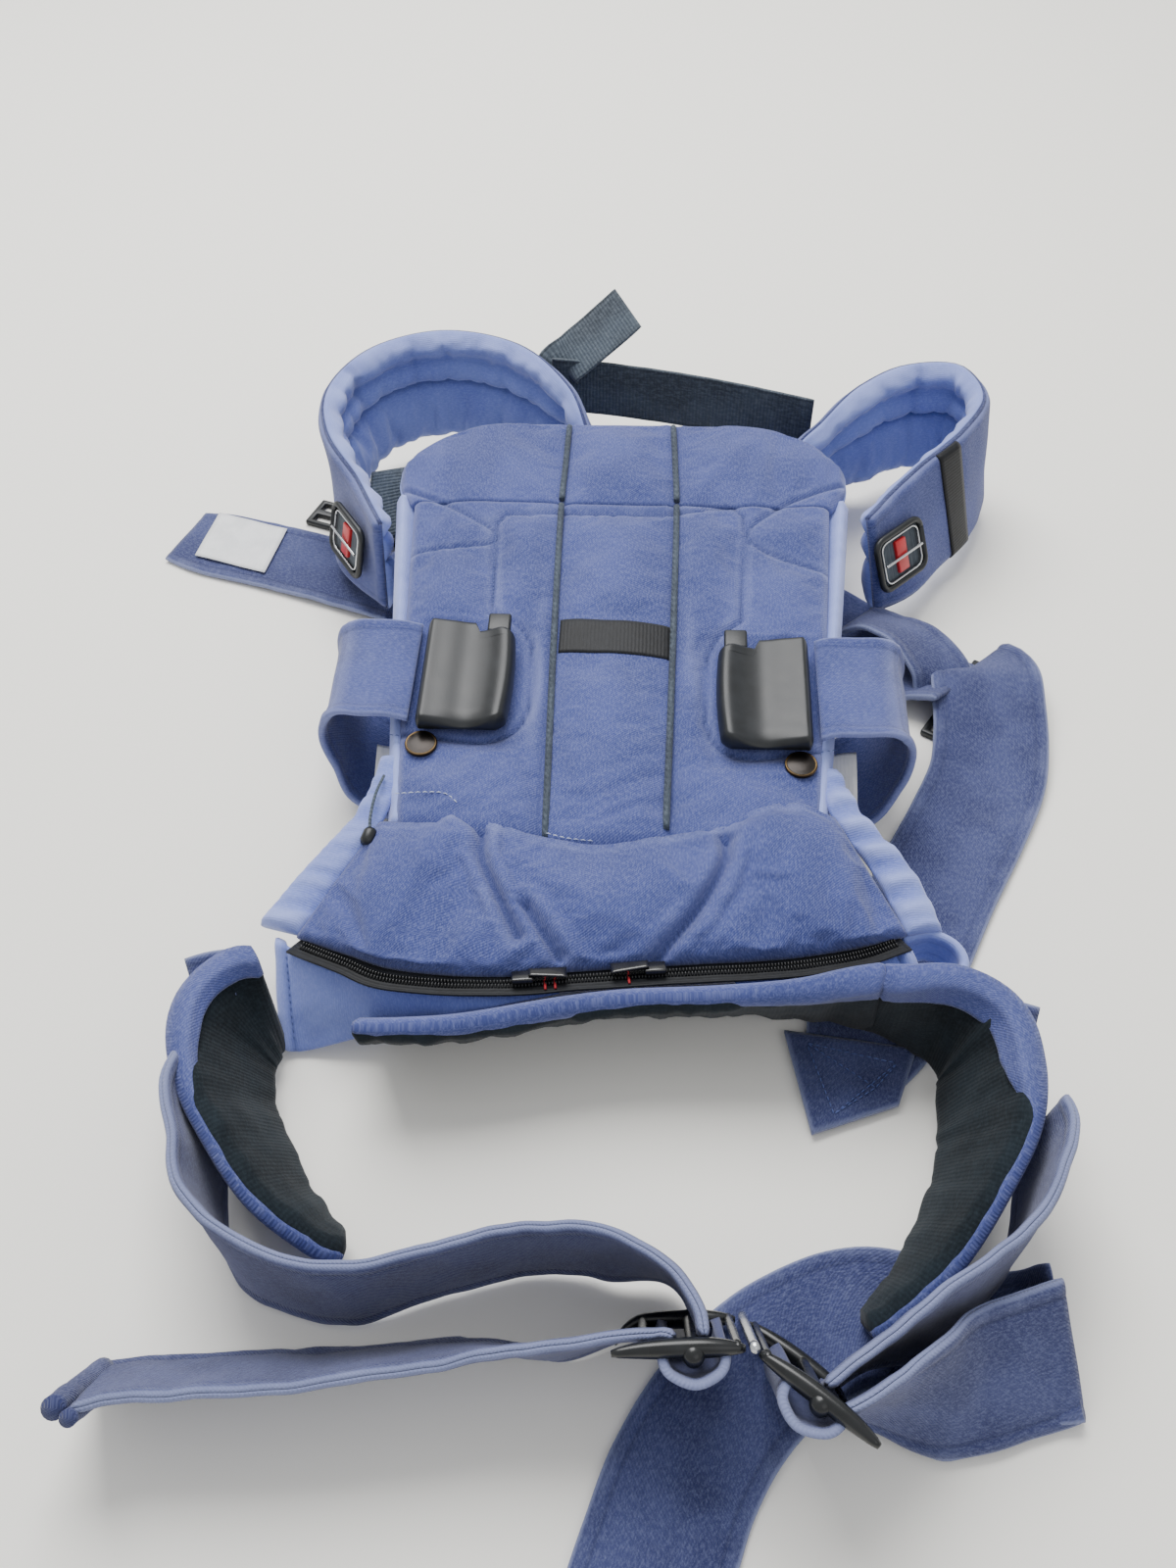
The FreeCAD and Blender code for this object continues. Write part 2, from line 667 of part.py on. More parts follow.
WAIST_LEFT = [(-176, -196, 34, -12), (-167, -222, 34, -10), (-158, -246, 34, -8), (-135, -268, 33, -2),
              (-97, -276, 33, -4), (-62, -266, 33, -8), (-24, -255, 33, -8), (8, -257, 35, -8),
              (33, -274, 37, -6), (45, -296, 38, -3)]
WAIST_TAIL_LEFT = [(34, -303, 38, 2), (8, -299, 35, 12), (-40, -296, 30, 28), (-85, -302, 28, 32),
                   (-130, -307, 27, 34), (-170, -310, 26, 35), (-190, -314, 26, 36)]
WAIST_RIGHT = [(193, -206, 38, 12), (184, -228, 39, 9), (170, -252, 40, 6), (141, -277, 40, 0),
               (114, -299, 38, 0), (97, -313, 38, 0)]
WAIST_TAIL_RIGHT = [(101, -323, 37, 0), (116, -318, 34, 8), (134, -309, 31, 22), (153, -299, 27, 36),
                    (172, -291, 25, 40), (190, -284.5, 24.5, 40)]
WAIST_TAIL_BACK = [(189, -280, 21, -52), (172, -276, 7.4, -81), (150, -271, 2.4, -90), (115, -264, 1.8, -90),
                   (82, -278, 1.8, -90), (57, -302, 1.8, -90), (40, -330, 1.8, -90), (30, -358, 1.8, -90),
                   (22, -384, 1.8, -90)]


def make_belt():
    """Three padded lengths: denim outside, black mesh lining on the wearer's side."""
    seam = float(dims.get("seam_gap"))
    shell_thick = float(dims.get("belt_shell_thick"))
    pad_thick = float(dims.get("belt_pad_thick"))
    for label, stations, inward in (("belt_centre", BELT_CENTRE, 1), ("belt_left", BELT_LEFT, -1),
                                    ("belt_right", BELT_RIGHT, 1)):
        frames = strap_frames(stations, float(dims.get("belt_width")))
        sub_shape(f"{label}_shell", ribbon_shape(frames, shell_thick, -inward * (shell_thick + seam) / 2))
        sub_shape(f"{label}_pad", ribbon_shape(frames, pad_thick, inward * (pad_thick + seam) / 2))


def make_waist_webbing():
    wide = float(dims.get("webbing_width"))
    thick = float(dims.get("webbing_thick"))
    ribbon("waist_strap_left", WAIST_LEFT, wide, thick)
    ribbon("waist_tail_left", WAIST_TAIL_LEFT, wide, thick)
    ribbon("waist_strap_right", WAIST_RIGHT, wide, thick)
    sub_shape("waist_tail_right", folded_shape(WAIST_TAIL_RIGHT, WAIST_TAIL_BACK, wide, thick))


HOOK = (63.0, -308.0)
BARS = {"left": (41.0, -309.5), "right": (86.0, -325.5)}
PLATE_LOW, PLATE_HIGH = 5.0, 71.0
WEB_LOW, WEB_HIGH = 9.0, 67.0
BAR_HALF = 2.4
LOBE_RADIUS = 5.7


def fold_round_bar(bar, run, front):
    """Webbing folded round the bar: two legs through the slots and a lobe in front of the plate."""
    half = float(dims.get("webbing_thick")) / 2
    centre = FreeCAD.Vector(bar[0], bar[1], WEB_LOW) + front * 6
    rails = []
    for radius in (LOBE_RADIUS - half, LOBE_RADIUS + half):
        ends = [centre + run * radius, centre - run * radius]
        back = front * -11
        lobe = Part.Arc(ends[0], centre + front * radius, ends[1])
        rails.append([Part.makeLine(ends[0] + back, ends[0]), lobe.toShape(),
                      Part.makeLine(ends[1], ends[1] + back)])
    corners = [[rail[0].Vertexes[0].Point, rail[2].Vertexes[1].Point] for rail in rails]
    closing = [Part.makeLine(corners[0][index], corners[1][index]) for index in (0, 1)]
    rim = Part.Wire(Part.__sortEdges__(rails[0] + rails[1] + closing))
    return Part.Face(rim).extrude(FreeCAD.Vector(0, 0, WEB_HIGH - WEB_LOW))


def make_waist_buckle():
    """Two slotted plates stood on edge and hinged on a pin, webbing folded round each middle bar."""
    thick = size("bar_thick")
    for side, bar in BARS.items():
        run = FreeCAD.Vector(bar[0] - HOOK[0], bar[1] - HOOK[1], 0)
        reach = run.Length
        run.normalize()
        across = FreeCAD.Vector(0, 0, 1)
        normal = run.cross(across)
        front = normal if normal.y < 0 else normal * -1
        half = (PLATE_HIGH - PLATE_LOW) / 2
        slot = half - 3
        holes = [rectangle(reach - 9, reach - BAR_HALF, -slot, slot),
                 rectangle(reach + BAR_HALF, reach + 9, -slot, slot)]
        body = plate(f"waist_buckle_{side}", *rectangle(2.6, reach + 17, -half, half), thick, holes)
        rotation = FreeCAD.Rotation(run, across, normal, "ZXY")
        base = FreeCAD.Vector(HOOK[0], HOOK[1], (PLATE_LOW + PLATE_HIGH) / 2) - normal * (thick.value / 2)
        place(body, base.x, base.y, base.z, rotation)
        sub_shape(f"waist_loop_{side}", fold_round_bar(bar, run, front))
    rod = doc.addObject("Part::Cylinder", "waist_hook_pin")
    rod.Radius = 1.6
    rod.Height = PLATE_HIGH - PLATE_LOW
    keep(place(rod, HOOK[0], HOOK[1], PLATE_LOW), "waist_hook_pin")


def group(label, members):
    """Identical pieces kept as one node of separate solids."""
    compound = doc.addObject("Part::Compound", label)
    compound.Links = members
    return keep(compound, label)


def make_all():
    make_chest()
    make_head_support()
    make_piping()
    make_front_label()
    make_snaps()
    make_seat()
    make_leg_gussets()
    make_zip()
    pins = []
    for side, turn in SIDES:
        pins.append(make_side_buckle(side, turn))
        make_buckle_strap(side, turn)
    group("buckle_pins", pins)
    make_shoulder_strap("left", SHOULDER_LEFT, 1)
    make_shoulder_strap("right", SHOULDER_RIGHT, -1)
    rails = [make_height_adjuster("left", SHOULDER_LEFT, -1),
             make_height_adjuster("right", SHOULDER_RIGHT, 1)]
    group("height_rails", rails)
    make_shoulder_label()
    for side, stations in (("left", BAND_LEFT), ("right", BAND_RIGHT)):
        ribbon(f"cross_band_{side}", stations, float(dims.get("band_width")), float(dims.get("band_thick")))
    make_ladder_lock("left", -168, 250, 0, -20)
    make_ladder_lock("right", 198, 96, 0, 58)
    make_tails()
    make_belt()
    make_waist_webbing()
    make_waist_buckle()


def check_and_export():
    doc.recompute()
    for item in doc.Objects:
        if "Invalid" in item.State or "Error" in item.State:
            raise RuntimeError(f"{item.Label} failed: {item.State}")
    os.makedirs("parts", exist_ok=True)
    for sub_part in SUB_PARTS:
        shape = sub_part.Shape
        if shape.isNull() or not shape.isValid() or shape.Volume <= 0:
            raise RuntimeError(f"{sub_part.Label} has no valid solid")
        shape.exportStep(f"parts/{sub_part.Label}.step")
    print(len(SUB_PARTS), "sub-parts")


make_all()
check_and_export()
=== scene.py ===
import json
import math

import bmesh
import bpy
import numpy as np
from mathutils import Matrix, Vector, noise


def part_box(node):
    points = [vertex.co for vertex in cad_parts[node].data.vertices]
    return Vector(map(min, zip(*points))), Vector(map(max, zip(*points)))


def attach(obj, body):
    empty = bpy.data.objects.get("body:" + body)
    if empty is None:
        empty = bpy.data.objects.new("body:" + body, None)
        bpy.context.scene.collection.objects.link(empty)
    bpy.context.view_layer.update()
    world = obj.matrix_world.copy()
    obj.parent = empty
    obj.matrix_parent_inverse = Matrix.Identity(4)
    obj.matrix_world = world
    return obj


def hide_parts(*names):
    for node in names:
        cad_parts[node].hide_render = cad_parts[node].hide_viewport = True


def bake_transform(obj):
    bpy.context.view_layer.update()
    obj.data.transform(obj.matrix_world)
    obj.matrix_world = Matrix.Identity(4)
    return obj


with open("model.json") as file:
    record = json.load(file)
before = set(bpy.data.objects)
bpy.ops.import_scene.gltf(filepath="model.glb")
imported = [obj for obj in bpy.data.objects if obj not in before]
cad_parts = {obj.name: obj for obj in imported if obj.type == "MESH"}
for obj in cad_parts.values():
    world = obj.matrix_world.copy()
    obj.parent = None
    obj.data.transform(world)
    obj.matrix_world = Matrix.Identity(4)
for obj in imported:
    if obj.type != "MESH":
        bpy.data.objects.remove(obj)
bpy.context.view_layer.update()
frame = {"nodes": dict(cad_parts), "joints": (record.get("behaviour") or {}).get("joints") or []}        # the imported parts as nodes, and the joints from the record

scene = bpy.context.scene
mm = 0.001               # everything below is worked out in millimetres and scaled at the end
upright = np.array([0.0, 0.0, 1.0])
print("stage: frame loaded")


# where things are: the fold of the head support fixes the front panel's zero line

front = {
    "tilt": math.radians(3.34),     # the head end lies higher
    "fold": 182.0,                  # zero line to fold
}
foldJoint = next(joint for joint in frame["joints"] if joint["name"] == "head_support_fold")
alongFront = np.array([0.0, math.cos(front["tilt"]), math.sin(front["tilt"])])
outOfFront = np.array([0.0, -math.sin(front["tilt"]), math.cos(front["tilt"])])
zeroPoint = np.array(foldJoint["pos_m"]) / mm - alongFront * front["fold"]


def onTable(points):
    # points measured from the zero line, heights from the table
    return np.asarray(points, float) + [zeroPoint[0], zeroPoint[1], 0.0]


def onFront(x, y, up=0.0):
    # a place on the tilted front panel
    x, y, up = np.broadcast_arrays(np.asarray(x, float), np.asarray(y, float), np.asarray(up, float))
    across = np.array([1.0, 0.0, 0.0])
    return zeroPoint + x[..., None] * across + y[..., None] * alongFront + up[..., None] * outOfFront


# materials

def linearColour(hexText):
    parts = [int(hexText[index:index + 2], 16) / 255 for index in (1, 3, 5)]
    linear = [part / 12.92 if part <= 0.04045 else ((part + 0.055) / 1.055) ** 2.4 for part in parts]
    return (*linear, 1.0)


def addNode(tree, kind, sockets=None, links=None, **settings):
    node = tree.nodes.new(kind)
    for key, value in settings.items():
        setattr(node, key, value)
    for key, value in (sockets or {}).items():
        node.inputs[key].default_value = value
    for key, output in (links or {}).items():
        tree.links.new(output, node.inputs[key])
    return node


def newMaterial(name, roughness, **sockets):
    material = bpy.data.materials.new(name)
    material.use_nodes = True
    tree = material.node_tree
    shader = tree.nodes["Principled BSDF"]
    shader.inputs["Roughness"].default_value = roughness
    for key, value in sockets.items():
        shader.inputs[key.replace("_", " ")].default_value = value
    return material, tree, shader


def mixColours(tree, share, first, second):
    # colours are hex text or an output to blend from
    node = addNode(tree, "ShaderNodeMix", data_type="RGBA")
    if isinstance(share, float):
        node.inputs[0].default_value = share
    else:
        tree.links.new(share, node.inputs[0])
    for socket, colour in ((node.inputs[6], first), (node.inputs[7], second)):
        if isinstance(colour, str):
            socket.default_value = linearColour(colour)
        else:
            tree.links.new(colour, socket)
    return node.outputs[2]


def ramp(tree, value, low, high):
    node = addNode(tree, "ShaderNodeMapRange", {"From Min": low, "From Max": high}, {"Value": value},
                   interpolation_type="SMOOTHSTEP")
    return node.outputs["Result"]


def scaled(tree, value, factor):
    return addNode(tree, "ShaderNodeMath", {1: factor}, {0: value}, operation="MULTIPLY").outputs[0]


def noiseOver(tree, place, scale, detail, roughness=0.5):
    return addNode(tree, "ShaderNodeTexNoise", {"Scale": scale, "Detail": detail, "Roughness": roughness},
                   {"Vector": place}, noise_dimensions="2D").outputs[0]


def roughen(tree, shader, height, strength, depth):
    relief = addNode(tree, "ShaderNodeBump", {"Strength": strength, "Distance": depth}, {"Height": height})
    tree.links.new(relief.outputs[0], shader.inputs["Normal"])


def wovenCloth(name, look):
    # cotton cloth: thread flecks, slubs along the warp, paled wear and painted highlight, painted shade in
    # seams, fuzz as sheen
    sockets = {"Sheen_Weight": look["sheen"], "Sheen_Roughness": 0.5, "Specular_IOR_Level": 0.25}
    material, tree, shader = newMaterial(name, look["roughness"], **sockets)
    place = addNode(tree, "ShaderNodeTexCoord").outputs["UV"]
    warp = addNode(tree, "ShaderNodeMapping", {"Scale": (1.0, 0.38, 1.0)}, {"Vector": place}).outputs[0]
    turned = addNode(tree, "ShaderNodeMapping", {"Rotation": (0.0, 0.0, math.radians(look["twillDegrees"]))},
                     {"Vector": place}).outputs[0]
    threads = 1000.0 / look["threadMm"]
    fleck = noiseOver(tree, place, threads * 0.8, 3.0, 0.7)
    slub = noiseOver(tree, warp, threads * 0.62, 4.0, 0.75)
    cloudy = noiseOver(tree, place, 1000.0 / look["fadeMm"], 3.0)
    twill = addNode(tree, "ShaderNodeTexWave", {"Scale": threads * 0.16, "Distortion": 1.2, "Detail": 2.0,
                                                "Detail Scale": 2.0}, {"Vector": turned}, wave_type="BANDS")
    twill = twill.outputs[0]
    # pale mix: worn edges and ridges, and painted highlight on gather crests
    wearAndHighlight = addNode(tree, "ShaderNodeAttribute", attribute_name="wearAndHighlight").outputs["Fac"]
    # painted shade: the dark seam colour laid into seams, stitch lines, folds and gather valleys
    paintedShade = addNode(tree, "ShaderNodeAttribute", attribute_name="paintedShade").outputs["Fac"]
    colour = mixColours(tree, ramp(tree, cloudy, 0.32, 0.68), look["deep"], look["body"])
    for share, strength, tint in ((ramp(tree, slub, 0.42, 0.66), look["slub"], "pale"),
                                  (ramp(tree, fleck, 0.56, 0.72), look["fleck"], "pale"),
                                  (twill, look["twill"], "deep"),
                                  (ramp(tree, wearAndHighlight, 0.05, 1.0), look["paleMix"], "pale"),
                                  (ramp(tree, paintedShade, 0.05, 1.0), 0.55, "seam")):
        colour = mixColours(tree, scaled(tree, share, strength), colour, look[tint])
    tree.links.new(colour, shader.inputs["Base Color"])
    height = addNode(tree, "ShaderNodeMath", links={0: twill, 1: slub}, operation="ADD").outputs[0]
    height = addNode(tree, "ShaderNodeMath", links={0: height, 1: fleck}, operation="ADD").outputs[0]
    roughen(tree, shader, height, look["relief"], 0.0006)
    return material


# denim twill: cotton, blue warp over white weft; threads are drawn about twice as coarse so they show
denimTwill = wovenCloth("denimTwill", {
    "deep": "#38427a", "body": "#454f8b", "pale": "#8790c2", "seam": "#20264a", "threadMm": 0.56,
    "fadeMm": 55.0, "twillDegrees": 52.0, "slub": 0.3, "fleck": 0.34, "twill": 0.16, "paleMix": 0.6,
    "roughness": 0.93, "sheen": 0.25, "relief": 0.35})
# the same twill washed darker, on the webbing and belt: deeper blue between pale worn edges
denimStrap = wovenCloth("denimStrap", {
    "deep": "#2f3560", "body": "#404774", "pale": "#838bb0", "seam": "#171c3a", "threadMm": 0.6,
    "fadeMm": 32.0, "twillDegrees": -48.0, "slub": 0.28, "fleck": 0.3, "twill": 0.2, "paleMix": 0.8,
    "roughness": 0.93, "sheen": 0.22, "relief": 0.4})
# brushed cotton lining: plain weave, soft nap, light periwinkle blue, paled at worn edges and by painted
# highlight on gather crests
brushedCotton = wovenCloth("brushedCotton", {
    "deep": "#6473bd", "body": "#7282c8", "pale": "#a3b0e8", "seam": "#39467f", "threadMm": 0.6,
    "fadeMm": 40.0, "twillDegrees": 0.0, "slub": 0.25, "fleck": 0.22, "twill": 0.06, "paleMix": 0.6,
    "roughness": 0.9, "sheen": 0.35, "relief": 0.22})
# knitted spacer mesh, dyed black: greenish black, dry and matt, grey at its worn edges and as painted highlight
# on gather crests
spacerMesh = wovenCloth("spacerMesh", {
    "deep": "#0b1319", "body": "#121c23", "pale": "#36434b", "seam": "#04080a", "threadMm": 1.0,
    "fadeMm": 30.0, "twillDegrees": 90.0, "slub": 0.16, "fleck": 0.22, "twill": 0.1, "paleMix": 0.35,
    "roughness": 0.95, "sheen": 0.1, "relief": 0.25})
# nylon webbing, woven tight: charcoal with a faint rib across it
nylonWebbing = wovenCloth("nylonWebbing", {
    "deep": "#323a43", "body": "#47525d", "pale": "#87929c", "seam": "#0c0e10", "threadMm": 1.1,
    "fadeMm": 45.0, "twillDegrees": 90.0, "slub": 0.2, "fleck": 0.12, "twill": 0.35, "paleMix": 0.35,
    "roughness": 0.7, "sheen": 0.15, "relief": 0.5})
# polyester braid over a filler: slate grey, slightly shiny piping
braidedPiping = wovenCloth("braidedPiping", {
    "deep": "#2c3540", "body": "#3c4753", "pale": "#748090", "seam": "#14181d", "threadMm": 1.2,
    "fadeMm": 30.0, "twillDegrees": 35.0, "slub": 0.2, "fleck": 0.2, "twill": 0.3, "paleMix": 0.5,
    "roughness": 0.6, "sheen": 0.1, "relief": 0.5})
# damask-woven label, black: fine satin face, nearly flat
satinLabel = wovenCloth("satinLabel", {
    "deep": "#08090c", "body": "#0d0f13", "pale": "#30343c", "seam": "#020203", "threadMm": 1.0,
    "fadeMm": 25.0, "twillDegrees": 0.0, "slub": 0.15, "fleck": 0.1, "twill": 0.2, "paleMix": 0.3,
    "roughness": 0.55, "sheen": 0.1, "relief": 0.2})
# polyester satin care tag, white, with no print
whiteTag = wovenCloth("whiteTag", {
    "deep": "#d8dadc", "body": "#e8e9ea", "pale": "#f6f6f6", "seam": "#b0b2b4", "threadMm": 1.0,
    "fadeMm": 20.0, "twillDegrees": 0.0, "slub": 0.2, "fleck": 0.1, "twill": 0.1, "paleMix": 0.2,
    "roughness": 0.5, "sheen": 0.05, "relief": 0.15})


def plainFinish(name, colour, roughness, grainMm, relief, **sockets):
    # moulded, drawn or enamelled surfaces: one colour with a fine grain and uneven gloss
    material, tree, shader = newMaterial(name, roughness, **sockets)
    place = addNode(tree, "ShaderNodeTexCoord").outputs["Object"]
    grain = addNode(tree, "ShaderNodeTexNoise", {"Scale": 1000.0 / grainMm, "Detail": 4.0}, {"Vector": place})
    smear = addNode(tree, "ShaderNodeTexNoise", {"Scale": 90.0, "Detail": 3.0}, {"Vector": place}).outputs[0]
    tint = mixColours(tree, ramp(tree, smear, 0.3, 0.7), colour[0], colour[1])
    tree.links.new(tint, shader.inputs["Base Color"])
    gloss = addNode(tree, "ShaderNodeMapRange", {"To Min": roughness - 0.06, "To Max": roughness + 0.08},
                    {"Value": smear})
    tree.links.new(gloss.outputs["Result"], shader.inputs["Roughness"])
    roughen(tree, shader, grain.outputs[0], relief, 0.0002)
    return material


# acetal moulded in a spark-eroded tool: charcoal black with a soft satin gloss
mouldedAcetal = plainFinish("mouldedAcetal", ("#111416", "#1b1e21"), 0.4, 0.9, 0.12, IOR=1.48)
# glossier acetal on the waist plates, polished by the webbing
polishedAcetal = plainFinish("polishedAcetal", ("#121415", "#1c1e20"), 0.27, 1.5, 0.06, IOR=1.48)
# ABS moulded bright red, the height sliders
redAbs = plainFinish("redAbs", ("#a8141c", "#c4232b"), 0.3, 1.2, 0.06, IOR=1.53)
# drawn steel wire, nickel plated: bright line of light along its length
drawnSteel = plainFinish("drawnSteel", ("#b9bcc0", "#d2d4d6"), 0.24, 0.5, 0.08, Metallic=1.0)
# brass snap cap, blackened, rubbed back to warm metal at the rim
blackenedBrass = plainFinish("blackenedBrass", ("#1d1a18", "#2a2522"), 0.3, 0.8, 0.1, Metallic=0.7)
rubbedBrass = plainFinish("rubbedBrass", ("#3d3224", "#5c4b33"), 0.34, 0.8, 0.1, Metallic=1.0)
# nylon zip coil and enamelled slider: near black, small sharp highlights
nylonCoil = plainFinish("nylonCoil", ("#0e0f10", "#1a1b1c"), 0.32, 0.6, 0.1, IOR=1.53)
enamelledZinc = plainFinish("enamelledZinc", ("#101011", "#1c1c1d"), 0.2, 1.0, 0.05, IOR=1.5, Coat_Weight=0.4)
# spun polyester sewing thread: pale top stitching, blue hem stitching, red bar tacks
paleThread = plainFinish("paleThread", ("#a9b2cf", "#c3cade"), 0.7, 0.4, 0.3)
blueThread = plainFinish("blueThread", ("#4c5a90", "#5f6da6"), 0.75, 0.4, 0.3)
redThread = plainFinish("redThread", ("#a01c26", "#bd2a33"), 0.7, 0.4, 0.3)
print("stage: materials made")


# mesh building

def finishMesh(name, points, faces, material, lay=None, wearAndHighlight=None, paintedShade=None):
    mesh = bpy.data.meshes.new(name)
    mesh.from_pydata([tuple(point) for point in np.asarray(points) * mm], [], faces)
    if lay is not None:
        layer = mesh.uv_layers.new(name="lay")
        spots = np.array([loop.vertex_index for loop in mesh.loops])
        layer.data.foreach_set("uv", (np.asarray(lay)[spots] * mm).ravel())
    for label, values in (("wearAndHighlight", wearAndHighlight), ("paintedShade", paintedShade)):
        if values is not None:
            attribute = mesh.attributes.new(label, "FLOAT", "POINT")
            attribute.data.foreach_set("value", np.asarray(values, np.float32).ravel())
    work = bmesh.new()
    work.from_mesh(mesh)
    bmesh.ops.recalc_face_normals(work, faces=work.faces)
    work.to_mesh(mesh)
    work.free()
    mesh.polygons.foreach_set("use_smooth", [True] * len(mesh.polygons))
    mesh.materials.append(material)
    piece = bpy.data.objects.new(name, mesh)
    scene.collection.objects.link(piece)
    return piece


def layAlong(surface, along):
    # where the cloth lies flat: measured over its own surface across, along its run lengthwise
    steps = np.linalg.norm(np.diff(surface, axis=1), axis=2)
    over = np.concatenate([np.zeros((len(surface), 1)), steps.cumsum(1)], 1)
    over = over - over[:, over.shape[1] // 2][:, None]
    return np.stack([over, along], -1).reshape(-1, 2)


def sewnPiece(name, grid, upper, lower, material, wearAndHighlight=None, paintedShade=None):
    # two faces set off from a middle sheet and closed round their rim
    rows, columns = upper.shape
    top = grid["mid"] + grid["normal"] * upper[..., None]
    bottom = grid["mid"] + grid["normal"] * lower[..., None]
    index = np.arange(rows * columns).reshape(rows, columns)
    corners = np.stack([index[:-1, :-1], index[:-1, 1:], index[1:, 1:], index[1:, :-1]], -1).reshape(-1, 4)
    under = corners[:, ::-1] + rows * columns
    rim = [*index[0, :], *index[1:, -1], *index[-1, -2::-1], *index[-2:0:-1, 0]]
    walls = [(a, b, b + rows * columns, a + rows * columns) for a, b in zip(rim, rim[1:] + rim[:1])]
    faces = [tuple(int(spot) for spot in face) for face in [*corners, *under, *walls]]
    points = np.concatenate([top.reshape(-1, 3), bottom.reshape(-1, 3)])
    lay = np.concatenate([layAlong(face, grid["along"]) for face in (top, bottom)])
    blank = np.zeros(rows * columns)
    wearAndHighlight = blank if wearAndHighlight is None else np.clip(wearAndHighlight, 0, 1).ravel()
    paintedShade = blank if paintedShade is None else np.clip(paintedShade, 0, 1).ravel()
    return finishMesh(name, points, faces, material, lay, np.tile(wearAndHighlight, 2), np.tile(paintedShade, 2))


def rounded(edge, radius):
    # 0 at an edge rising to 1 a radius in, as a quarter circle
    inside = np.clip(edge / radius, 0, 1)
    return np.sqrt(np.clip(1 - (1 - inside) ** 2, 0, 1))


def groove(distance, width):
    return np.exp(-(distance / width) ** 2)


def ripple(first, second, firstScale, secondScale, seed):
    pairs = zip(np.ravel(first) / firstScale, np.ravel(second) / secondScale)
    return np.array([noise.noise(Vector((a, b, seed))) for a, b in pairs]).reshape(np.shape(first))


def fromLine(x, y, line):
    # distance from each place to a run of points
    best = np.full(np.shape(x), 1e9)
    for (ax, ay), (bx, by) in zip(line[:-1], line[1:]):
        reach = (bx - ax) ** 2 + (by - ay) ** 2
        share = np.clip(((x - ax) * (bx - ax) + (y - ay) * (by - ay)) / reach, 0, 1)
        best = np.minimum(best, np.hypot(x - ax - share * (bx - ax), y - ay - share * (by - ay)))
    return best


def smoothLine(points, steps=8):
    points = [np.asarray(point, float) for point in points]
    padded = [2 * points[0] - points[1], *points, 2 * points[-1] - points[-2]]
    out = []
    for a, b, c, d in zip(padded, padded[1:], padded[2:], padded[3:]):
        for step in range(steps):
            t = step / steps
            out.append(0.5 * (2 * b + (c - a) * t + (2 * a - 5 * b + 4 * c - d) * t * t
                              + (3 * b - a - 3 * c + d) * t ** 3))
    out.append(points[-1])
    return np.array(out)


def edgeSpread(count):
    # shares from -1 to 1, closer together at the two edges
    even = np.linspace(-1, 1, count)
    return np.sign(even) * (1 - (1 - np.abs(even)) ** 1.45)


def unit(vectors):
    return vectors / np.maximum(np.linalg.norm(vectors, axis=-1, keepdims=True), 1e-6)


def distanceAlong(points):
    # how far along a line each of its points lies
    return np.concatenate([[0], np.cumsum(np.linalg.norm(np.diff(points, axis=0), axis=1))])


def between(stops, reach, values):
    # what a line's values are at other distances along it
    return np.stack([np.interp(stops, reach, values[:, column]) for column in range(values.shape[1])], -1)


def evened(line, count):
    # the same line with its places evenly apart, and their distances
    reach = distanceAlong(line[:, :3])
    stops = np.linspace(0, reach[-1], count)
    return stops, between(stops, reach, line)


def plainGrid(mid, normal, across, along):
    # a small piece that faces one way all over
    return {"mid": mid, "normal": np.broadcast_to(normal, mid.shape), "across": across, "along": along}


def strapGrid(stations, width, step=3.0, count=29):
    # a station is x, y, height, lean and share of the width, as the strap was routed
    full = [list(station) + [1.0] * (5 - len(station)) for station in stations]
    path = smoothLine(full, 16)
    rows = max(8, int(distanceAlong(path[:, :3])[-1] / step))
    stops, path = evened(path, rows)
    centre = onTable(path[:, :3])
    run = unit(np.gradient(centre, axis=0))
    side = unit(np.stack([-run[:, 1], run[:, 0], np.zeros(rows)], -1))
    up = np.cross(run, side)
    up *= np.where(up[:, 2] < 0, -1, 1)[:, None]
    lean = np.radians(path[:, 3])[:, None]
    across = up * np.cos(lean) + side * np.sin(lean)
    normal = np.cross(run, across)
    return crossGrid(centre, across, normal, width * path[:, 4] / 2, stops, count)


def crossGrid(centre, across, normal, half, stops, count):
    share = edgeSpread(count)
    offsets = half[:, None] * share[None, :]
    return {
        "mid": centre[:, None] + across[:, None] * offsets[..., None],
        "normal": np.repeat(normal[:, None], count, 1),
        "side": np.repeat(across[:, None], count, 1),
        "across": offsets,
        "along": np.repeat(stops[:, None], count, 1),
        "edge": half[:, None] * (1 - np.abs(share))[None, :],
        "end": np.repeat(np.minimum(stops, stops[-1] - stops)[:, None], count, 1),
    }


def ringFaces(rings, sides, base=0):
    # walls between rings of points, and a flat face over each end
    faces = []
    for start in range(base, base + (rings - 1) * sides, sides):
        for turn in range(sides):
            following = (turn + 1) % sides
            faces.append((start + turn, start + following, start + sides + following, start + sides + turn))
    faces.append(tuple(base + turn for turn in range(sides)))
    faces.append(tuple(base + (rings - 1) * sides + turn for turn in range(sides - 1, -1, -1)))
    return faces


